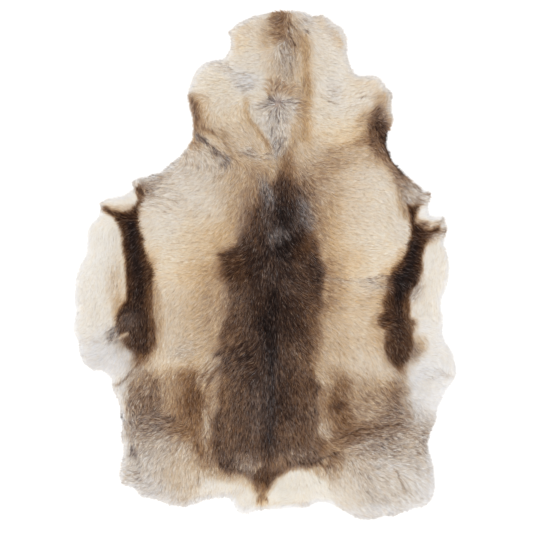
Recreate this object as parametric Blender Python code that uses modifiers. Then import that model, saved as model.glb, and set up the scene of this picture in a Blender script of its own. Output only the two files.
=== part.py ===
"""A reindeer hide laid out flat, hair side up.

One pelt, tanned with its hair on: skin and pile together are one soft solid.
Units are metres and +Z is up. +Y points to the neck and -Y to the tail, with
the spine close to x = 0. The origin is on the flat flesh side, under the
middle of the hide. The edge follows the cut of the pelt: the neck at the top,
a foreleg stub and a belly flap on each side, the two haunches and the tail.
"""

import math
from collections import namedtuple

import bpy
import numpy as np
from mathutils import Vector, noise
from mathutils.geometry import delaunay_2d_cdt

MM = 0.001

LENGTH = 1.202  # neck cut to rump, as laid
WIDTH = 0.904  # across the belly flaps
SKIN = 0.0018  # tanned skin alone
PILE = 0.0185  # hair as it lies, over the body
RIM = 0.0050  # skin and the last thin hair, at the very edge
RIM_ROUND = 0.045  # the pile thins out over this distance from the edge
LIFT_REACH = 0.060  # an edge that cockles leaves the floor over this distance
EDGE_STEP = 0.0130  # spacing of points along the edge
FIELD_STEP = 0.0225  # spacing of points inside
RINGS = (0.007, 0.018)  # rows of points that follow the edge, and how far in
EDGE_WAVE = 0.0012  # unevenness of the cut
PILE_WAVE = 0.0016  # unevenness of the pile
WAVE_SIZE = 0.085

# The edge, landmark by landmark, anticlockwise seen from above from the neck.
# x and y in mm from the middle of the hide; lift is how far the skin's edge
# stands off the floor there, in mm.
Landmark = namedtuple("Landmark", "name x y lift")
EDGE = [
    Landmark("neck cut, middle", 86, 599, 2),
    Landmark("neck cut, top", 39, 601, 3),
    Landmark("neck cut, left", -1, 595, 3),
    Landmark("nape corner", -37, 585, 2),
    Landmark("nape notch", -67, 568, 1),
    Landmark("nape shoulder", -83, 552, 2),
    Landmark("throat, left top", -79, 524, 1),
    Landmark("throat, left hollow", -98, 487, 1),
    Landmark("jowl, left top", -126, 484, 3),
    Landmark("jowl, left", -148, 474, 5),
    Landmark("jowl, left side", -169, 448, 4),
    Landmark("neck, left widest", -181, 396, 5),
    Landmark("neck, left dent", -172, 361, 2),
    Landmark("neck, left low", -169, 309, 3),
    Landmark("neck, left foot", -183, 278, 2),
    Landmark("shoulder, left start", -206, 251, 1),
    Landmark("shoulder, left", -244, 221, 2),
    Landmark("shoulder, left end", -277, 208, 3),
    Landmark("foreleg, left peak", -312, 196, 5),
    Landmark("foreleg, left fold", -310, 182, 3),
    Landmark("foreleg, left under", -324, 168, 4),
    Landmark("flap, left curl", -355, 157, 9),
    Landmark("flap, left top", -386, 151, 7),
    Landmark("flap, left corner", -391, 120, 3),
    Landmark("belly, left high", -419, 83, 2),
    Landmark("belly, left dent", -422, 26, 2),
    Landmark("belly, left swell", -442, -14, 5),
    Landmark("belly, left widest", -450, -92, 3),
    Landmark("belly, left nick", -446, -116, 1),
    Landmark("belly, left low", -453, -156, 4),
    Landmark("belly, left scallop", -440, -182, 2),
    Landmark("belly, left foot", -435, -222, 5),
    Landmark("groin, left start", -409, -247, 3),
    Landmark("groin, left", -388, -248, 1),
    Landmark("groin, left turn", -362, -269, 2),
    Landmark("groin, left step", -361, -290, 2),
    Landmark("haunch, left top", -341, -340, 2),
    Landmark("haunch, left high", -337, -375, 1),
    Landmark("haunch, left", -340, -404, 3),
    Landmark("haunch, left dent", -332, -437, 2),
    Landmark("haunch, left low", -339, -474, 4),
    Landmark("haunch, left corner", -341, -514, 4),
    Landmark("rump, left step", -306, -530, 2),
    Landmark("rump, left tooth", -296, -546, 2),
    Landmark("rump, left start", -275, -550, 2),
    Landmark("rump, left low", -218, -569, 5),
    Landmark("rump, left swell", -190, -572, 4),
    Landmark("rump, left end", -157, -560, 2),
    Landmark("rump, left hollow", -86, -551, 1),
    Landmark("tail, left", -58, -589, 2),
    Landmark("tail tuft", -27, -582, 1),
    Landmark("tail, middle", 4, -578, 2),
    Landmark("tail, right", 58, -575, 3),
    Landmark("tail, end", 100, -573, 2),
    Landmark("rump, right notch", 126, -559, 1),
    Landmark("rump, right start", 171, -572, 2),
    Landmark("rump, right swell", 211, -595, 4),
    Landmark("rump, right low", 249, -602, 3),
    Landmark("rump, right dent", 273, -594, 1),
    Landmark("rump, right", 296, -595, 3),
    Landmark("rump, right end", 341, -578, 4),
    Landmark("haunch, right corner", 384, -564, 4),
    Landmark("haunch, right low", 399, -522, 3),
    Landmark("haunch, right", 392, -467, 2),
    Landmark("haunch, right hollow", 382, -420, 1),
    Landmark("haunch, right high", 400, -371, 3),
    Landmark("haunch, right top", 406, -337, 2),
    Landmark("groin, right", 424, -302, 3),
    Landmark("belly, right corner", 451, -255, 6),
    Landmark("belly, right low", 442, -215, 4),
    Landmark("belly, right foot", 419, -168, 2),
    Landmark("belly, right", 419, -125, 1),
    Landmark("belly, right dent", 413, -85, 2),
    Landmark("belly, right step", 422, -66, 2),
    Landmark("belly, right swell", 433, -14, 4),
    Landmark("belly, right high", 432, 19, 3),
    Landmark("belly, right hollow", 420, 57, 1),
    Landmark("flap, right corner", 426, 85, 5),
    Landmark("flap, right curl", 417, 111, 8),
    Landmark("flap, right top", 392, 113, 4),
    Landmark("foreleg, right under", 382, 127, 2),
    Landmark("foreleg, right peak", 387, 166, 5),
    Landmark("foreleg, right fold", 371, 177, 3),
    Landmark("shoulder, right", 327, 215, 2),
    Landmark("shoulder, right start", 300, 248, 1),
    Landmark("neck, right foot", 283, 297, 2),
    Landmark("neck, right low", 299, 342, 3),
    Landmark("neck, right dent", 294, 378, 2),
    Landmark("jowl, right side", 296, 406, 3),
    Landmark("jowl, right", 280, 424, 5),
    Landmark("jowl, right top", 267, 444, 4),
    Landmark("jowl, right end", 222, 447, 2),
    Landmark("throat, right hollow", 210, 453, 1),
    Landmark("throat, right", 191, 500, 2),
    Landmark("throat, right top", 191, 533, 2),
    Landmark("nape, right low", 176, 564, 3),
    Landmark("nape, right", 159, 571, 2),
    Landmark("nape, right corner", 136, 592, 3),
    Landmark("neck cut, right", 107, 589, 1),
]

# Soft creases and ridges of the pile, in mm: both ends, how high it stands
# (or how deep it lies, below 0) and its half width.
Crease = namedtuple("Crease", "name x0 y0 x1 y1 height half_width")
CREASES = [
    Crease("nape parting", 97, 519, 88, 312, -3.5, 11),
    Crease("whorl ridge", -45, 360, 14, 288, 3.0, 14),
    Crease("whorl hollow", 20, 400, 24, 380, -4.0, 22),
    Crease("whorl left lock", -22, 352, 6, 262, -2.5, 10),
    Crease("throat fold, left", -75, 470, -10, 452, -2.0, 14),
    Crease("jowl fold, right", 140, 396, 196, 410, -2.0, 13),
    Crease("withers", 4, 200, 9, -10, 2.0, 34),
    Crease("back line", 2, -60, -16, -500, -1.8, 16),
    Crease("shoulder fold, left", -268, 176, -214, 196, -2.5, 14),
    Crease("rib fold, right", 140, -30, 288, -33, -2.6, 10),
    Crease("flank fold, left", -124, -208, -76, -271, -2.0, 12),
    Crease("haunch parting, left", -237, -262, -239, -396, -3.0, 11),
    Crease("rump parting, left", -146, -300, -136, -414, -2.4, 15),
    Crease("haunch fold, right", 159, -413, 330, -366, -3.0, 12),
    Crease("second haunch fold, right", 172, -446, 310, -407, -2.2, 12),
    Crease("stifle fold, right", 312, -482, 341, -543, -2.6, 12),
    Crease("tail root, left", -52, -506, -12, -560, -2.6, 15),
    Crease("tail root, right", 32, -500, 6, -560, -2.2, 15),
    Crease("rump lock, right", 120, -460, 150, -556, -2.4, 14),
    Crease("flap fold, left", -330, 150, -372, 118, -3.2, 14),
    Crease("flap fold, right", 366, 100, 402, 70, -3.0, 13),
    Crease("band edge, left", -340, -60, -300, -236, -1.6, 14),
    Crease("band edge, right", 345, -60, 330, -236, -1.6, 14),
]

# Where the hair stands deeper or lies thinner than over the body, in mm.
Swell = namedtuple("Swell", "name x y height radius")
SWELLS = [
    Swell("mane, left", -90, 410, 3.0, 110),
    Swell("mane, right", 200, 370, 3.0, 110),
    Swell("nape", 60, 520, 1.5, 90),
    Swell("back", -5, -230, 2.5, 190),
    Swell("belly, left", -400, -60, -3.0, 150),
    Swell("belly, right", 405, -90, -3.0, 150),
    Swell("haunch, left", -250, -440, -1.0, 130),
    Swell("haunch, right", 290, -440, -1.0, 130),
]


def cleared_scene():
    for old in list(bpy.data.objects):
        bpy.data.objects.remove(old, do_unlink=True)


def smooth_step(t):
    t = min(max(t, 0.0), 1.0)
    return t * t * (3.0 - 2.0 * t)


def spline_point(a, b, c, d, t):
    """A point between b and c on the centripetal Catmull-Rom curve a, b, c, d."""
    ta = 0.0
    tb = ta + max((b - a).length, 1e-9) ** 0.5
    tc = tb + max((c - b).length, 1e-9) ** 0.5
    td = tc + max((d - c).length, 1e-9) ** 0.5
    u = tb + (tc - tb) * t
    ab = a * ((tb - u) / (tb - ta)) + b * ((u - ta) / (tb - ta))
    bc = b * ((tc - u) / (tc - tb)) + c * ((u - tb) / (tc - tb))
    cd = c * ((td - u) / (td - tc)) + d * ((u - tc) / (td - tc))
    abc = ab * ((tc - u) / (tc - ta)) + bc * ((u - ta) / (tc - ta))
    bcd = bc * ((td - u) / (td - tb)) + cd * ((u - tb) / (td - tb))
    return abc * ((tc - u) / (tc - tb)) + bcd * ((u - tb) / (tc - tb))


def edge_line():
    """Evenly spaced points on the smooth edge, each as x, y, lift in metres."""
    knots = [Vector((k.x, k.y)) * MM for k in EDGE]
    lifts = [k.lift * MM for k in EDGE]
    count = len(knots)
    fine = []
    for i in range(count):
        a, b, c, d = (knots[(i + j - 1) % count] for j in range(4))
        for step in range(12):
            t = step / 12.0
            p = spline_point(a, b, c, d, t)
            lift = lifts[i] + (lifts[(i + 1) % count] - lifts[i]) * smooth_step(t)
            fine.append((p.x, p.y, lift))
    fine = np.array(fine)
    closed = np.vstack([fine, fine[:1]])
    along = np.concatenate([[0], np.cumsum(np.hypot(*np.diff(closed[:, :2], axis=0).T))])
    places = np.linspace(0, along[-1], int(round(along[-1] / EDGE_STEP)), endpoint=False)
    line = np.column_stack([np.interp(places, along, closed[:, k]) for k in range(3)])
    low, high = line[:, :2].min(0), line[:, :2].max(0)
    line[:, :2] = (line[:, :2] - (low + high) / 2) * ((WIDTH, LENGTH) / (high - low))
    return line


def inward(line):
    """The unit normals of the edge, pointing into the hide."""
    ahead = np.roll(line[:, :2], -1, axis=0) - np.roll(line[:, :2], 1, axis=0)
    ahead /= np.linalg.norm(ahead, axis=1)[:, None]
    return np.column_stack([-ahead[:, 1], ahead[:, 0]])


def roughened(line):
    """The same line with the small unevenness of a cut edge."""
    shift = [
        EDGE_WAVE * noise.noise(Vector((x * 38.0, y * 38.0, 3.7))) for x, y, _ in line
    ]
    out = line.copy()
    out[:, :2] += inward(line) * np.array(shift)[:, None]
    return out


def nearest_on_edge(points, line):
    """The distance of each point to the edge, and the edge's lift there."""
    a, b = line, np.roll(line, -1, axis=0)
    along = b[:, :2] - a[:, :2]
    length2 = (along**2).sum(1)
    to = points[:, None, :] - a[None, :, :2]
    t = np.clip((to * along).sum(2) / length2, 0, 1)
    gap = np.linalg.norm(to - t[:, :, None] * along, axis=2)
    best = gap.argmin(1)
    rows = np.arange(len(points))
    lift = a[best, 2] + (b[best, 2] - a[best, 2]) * t[rows, best]
    return gap[rows, best], lift


def inside(points, line):
    x, y = points[:, 0:1], points[:, 1:2]
    x0, y0 = line[:, 0], line[:, 1]
    x1, y1 = np.roll(x0, -1), np.roll(y0, -1)
    crosses = (y0 > y) != (y1 > y)
    rise = np.where(y1 == y0, 1e-12, y1 - y0)
    return (crosses & (x < (x1 - x0) * (y - y0) / rise + x0)).sum(1) % 2 == 1


def field_points(line):
    """Rows that follow the edge, then an even triangular field within them."""
    kept = []
    normals = inward(line)
    for number, depth in enumerate(RINGS):
        row = line[:, :2] + normals * depth
        row = row[:: 1 if number == 0 else 2] if depth < FIELD_STEP else row
        gap, _ = nearest_on_edge(row, line)
        row = row[inside(row, line) & (gap > 0.93 * depth)]
        for p in row:
            if not kept or min((p[0] - q[0]) ** 2 + (p[1] - q[1]) ** 2 for q in kept) > (
                0.6 * depth + 0.003
            ) ** 2:
                kept.append(p)
    rise = FIELD_STEP * math.sqrt(3) / 2
    rows = int(LENGTH / rise) + 2
    columns = int(WIDTH / FIELD_STEP) + 2
    grid = np.array(
        [
            (
                (i - columns / 2 + 0.5 * (j % 2)) * FIELD_STEP,
                (j - rows / 2) * rise,
            )
            for j in range(rows)
            for i in range(columns)
        ]
    )
    gap, _ = nearest_on_edge(grid, line)
    grid = grid[inside(grid, line) & (gap > RINGS[-1] + 0.45 * FIELD_STEP)]
    return np.vstack([np.array(kept), grid])


def crease_height(x, y):
    total = 0.0
    for c in CREASES:
        start, end = Vector((c.x0, c.y0)) * MM, Vector((c.x1, c.y1)) * MM
        run = end - start
        t = min(max((Vector((x, y)) - start).dot(run) / run.length_squared, 0), 1)
        away = (Vector((x, y)) - start - run * t).length / (c.half_width * MM)
        total += c.height * MM * math.exp(-away * away)
    return total


def swell_height(x, y):
    return sum(
        s.height * MM * math.exp(-((x - s.x * MM) ** 2 + (y - s.y * MM) ** 2) / (s.radius * MM) ** 2)
        for s in SWELLS
    )


def pile_thickness(x, y, gap):
    """Skin and hair together at a point that lies gap metres in from the edge."""
    wave = PILE_WAVE * noise.noise(Vector((x / WAVE_SIZE, y / WAVE_SIZE, 1.3)))
    body = SKIN + PILE + swell_height(x, y) + crease_height(x, y) + wave
    t = min(gap / RIM_ROUND, 1.0)
    profile = math.sqrt(max(1.0 - (1.0 - t) ** 2, 0.0))
    return RIM + (body - RIM) * profile


def hide_sheet():
    """The flesh side as an open sheet, with the thickness over it as weights."""
    line = roughened(edge_line())
    points = np.vstack([line[:, :2], field_points(line)])
    ring = [(i, (i + 1) % len(line)) for i in range(len(line))]
    made, _, faces, _, _, _ = delaunay_2d_cdt(
        [Vector(p) for p in points], ring, [], 0, 1e-6, False
    )
    flat = np.array([(p.x, p.y) for p in made])
    faces = np.array([tuple(f) for f in faces])
    faces = faces[inside(flat[faces].mean(1), line)].tolist()
    gap, lift = nearest_on_edge(flat, line)
    fall = np.clip(1.0 - gap / LIFT_REACH, 0.0, 1.0)
    height = lift * fall * fall * (3.0 - 2.0 * fall)
    mesh = bpy.data.meshes.new("hide")
    mesh.from_pydata(
        [(x, y, z) for (x, y), z in zip(flat, height)], [], faces
    )
    mesh.update()
    if sum(p.normal.z for p in mesh.polygons) < 0:
        mesh.flip_normals()
    return mesh, [pile_thickness(x, y, g) for (x, y), g in zip(flat, gap)]


def hair_material():
    material = bpy.data.materials.new("hair_on_hide")
    material.use_nodes = True
    shader = material.node_tree.nodes["Principled BSDF"]
    shader.inputs["Base Color"].default_value = (0.42, 0.31, 0.21, 1.0)
    shader.inputs["Roughness"].default_value = 0.85
    shader.inputs["Metallic"].default_value = 0.0
    material.diffuse_color = (0.42, 0.31, 0.21, 1.0)
    return material


def build():
    cleared_scene()
    group = bpy.data.collections.new("reindeer_hide")
    bpy.context.scene.collection.children.link(group)

    mesh, thickness = hide_sheet()
    hide = bpy.data.objects.new("hide", mesh)
    group.objects.link(hide)
    mesh.materials.append(hair_material())

    deepest = max(thickness)
    weights = hide.vertex_groups.new(name="thickness")
    for index, value in enumerate(thickness):
        weights.add([index], value / deepest, "REPLACE")
    solid = hide.modifiers.new("skin_and_pile", "SOLIDIFY")
    solid.thickness = deepest
    solid.offset = 1.0
    solid.use_even_offset = False
    solid.use_rim = True
    solid.vertex_group = weights.name
    solid.thickness_vertex_group = 0.0
    mesh.shade_smooth()


build()
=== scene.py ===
"""A reindeer hide laid flat, hair side up: a suede flesh side, a dense
undercoat and a coat of guard hair that is combed and marked as a real one."""

import math
from collections import namedtuple

import bpy
import numpy as np
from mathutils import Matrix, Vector
from mathutils.bvhtree import BVHTree
from mathutils.geometry import delaunay_2d_cdt


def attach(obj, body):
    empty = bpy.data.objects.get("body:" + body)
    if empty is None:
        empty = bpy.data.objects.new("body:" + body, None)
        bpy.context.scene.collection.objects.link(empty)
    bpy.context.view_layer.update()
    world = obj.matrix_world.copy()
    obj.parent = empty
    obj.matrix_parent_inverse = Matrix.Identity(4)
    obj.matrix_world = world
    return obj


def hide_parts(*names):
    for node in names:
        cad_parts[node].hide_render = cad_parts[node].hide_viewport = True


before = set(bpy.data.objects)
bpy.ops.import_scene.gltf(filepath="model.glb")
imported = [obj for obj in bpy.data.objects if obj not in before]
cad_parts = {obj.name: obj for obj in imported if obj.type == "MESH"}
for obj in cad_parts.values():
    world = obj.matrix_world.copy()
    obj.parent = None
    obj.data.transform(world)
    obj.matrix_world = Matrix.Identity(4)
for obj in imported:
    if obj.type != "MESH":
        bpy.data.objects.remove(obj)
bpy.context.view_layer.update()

# ---------------------------------------------------------------------------
# The coat's colours
#
# Two runs of hair colour, from black to white: an ashen one and a warm one.
# Every hair lies somewhere between the two.
# ---------------------------------------------------------------------------

Colour = namedtuple("Colour", "light r g b")

ASHEN = [
    Colour(0.00, 2, 2, 4),
    Colour(0.10, 23, 26, 29),
    Colour(0.20, 48, 51, 55),
    Colour(0.30, 73, 77, 81),
    Colour(0.42, 104, 107, 112),
    Colour(0.55, 137, 139, 145),
    Colour(0.70, 175, 178, 183),
    Colour(0.85, 214, 215, 221),
    Colour(1.00, 253, 253, 255),
]

WARM = [
    Colour(0.00, 7, 2, 0),
    Colour(0.10, 42, 22, 10),
    Colour(0.165, 64, 39, 22),
    Colour(0.215, 81, 51, 30),
    Colour(0.28, 99, 67, 39),
    Colour(0.34, 119, 80, 49),
    Colour(0.40, 136, 95, 58),
    Colour(0.45, 150, 108, 69),
    Colour(0.51, 165, 125, 82),
    Colour(0.57, 180, 140, 96),
    Colour(0.625, 193, 155, 109),
    Colour(0.685, 207, 170, 121),
    Colour(0.735, 215, 183, 136),
    Colour(0.79, 226, 198, 155),
    Colour(0.845, 232, 213, 180),
    Colour(0.915, 239, 231, 213),
    Colour(1.00, 255, 254, 250),
]

# ---------------------------------------------------------------------------
# The markings chart
#
# The coat is charted on a sheet as a furrier would sketch it: x runs right and
# y runs down the sheet, 2.36 mm a unit, neck at the top. A tone is how light
# the hair is, how warm, and how much one hair differs from the next.
# Besides the markings, some marks paint shade into the hide's folds and creases and sheen onto the dark saddle.
# ---------------------------------------------------------------------------

Tone = namedtuple("Tone", "light warm grain")

TONES = {
    "white": Tone(0.915, 0.48, 0.004),
    "milk": Tone(0.895, 0.58, 0.004),
    "frost": Tone(0.90, 0.27, 0.006),
    "mist": Tone(0.855, 0.27, 0.008),
    "butter": Tone(0.905, 0.66, 0.004),
    "ivory": Tone(0.888, 0.54, 0.005),
    "cream": Tone(0.862, 0.57, 0.007),
    "straw": Tone(0.862, 0.80, 0.012),
    "honey": Tone(0.80, 1.0, 0.012),
    "pearl": Tone(0.812, 0.38, 0.026),
    "sand": Tone(0.778, 0.72, 0.015),
    "beige": Tone(0.735, 0.59, 0.045),
    "ash": Tone(0.705, 0.37, 0.050),
    "ochre": Tone(0.685, 0.90, 0.024),
    "tan": Tone(0.655, 0.73, 0.028),
    "fawn": Tone(0.56, 0.76, 0.034),
    # a pale cool tone for silver hair and for sheen painted onto the dark saddle
    "silver_sheen": Tone(0.60, 0.06, 0.050),
    "smoke": Tone(0.54, 0.44, 0.065),
    "taupe": Tone(0.49, 0.56, 0.060),
    "hazel": Tone(0.45, 0.82, 0.044),
    "slate": Tone(0.41, 0.28, 0.060),
    "russet": Tone(0.36, 0.86, 0.040),
    "bark": Tone(0.34, 0.64, 0.046),
    "rust": Tone(0.31, 1.0, 0.040),
    "dusk": Tone(0.33, 0.46, 0.030),
    "umber": Tone(0.275, 0.74, 0.032),
    "steel": Tone(0.26, 0.34, 0.042),
    "cocoa": Tone(0.165, 0.88, 0.023),
    "sable": Tone(0.205, 0.66, 0.030),
    "soot": Tone(0.125, 0.62, 0.024),
    "ink": Tone(0.07, 0.50, 0.022),
    "jet": Tone(0.115, 0.30, 0.024),
}

Blob = namedtuple("Blob", "name tone x y rx ry turn soft amount")
Shape = namedtuple("Shape", "name tone amount soft points")
Line = namedtuple("Line", "name tone amount width soft points")

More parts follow.
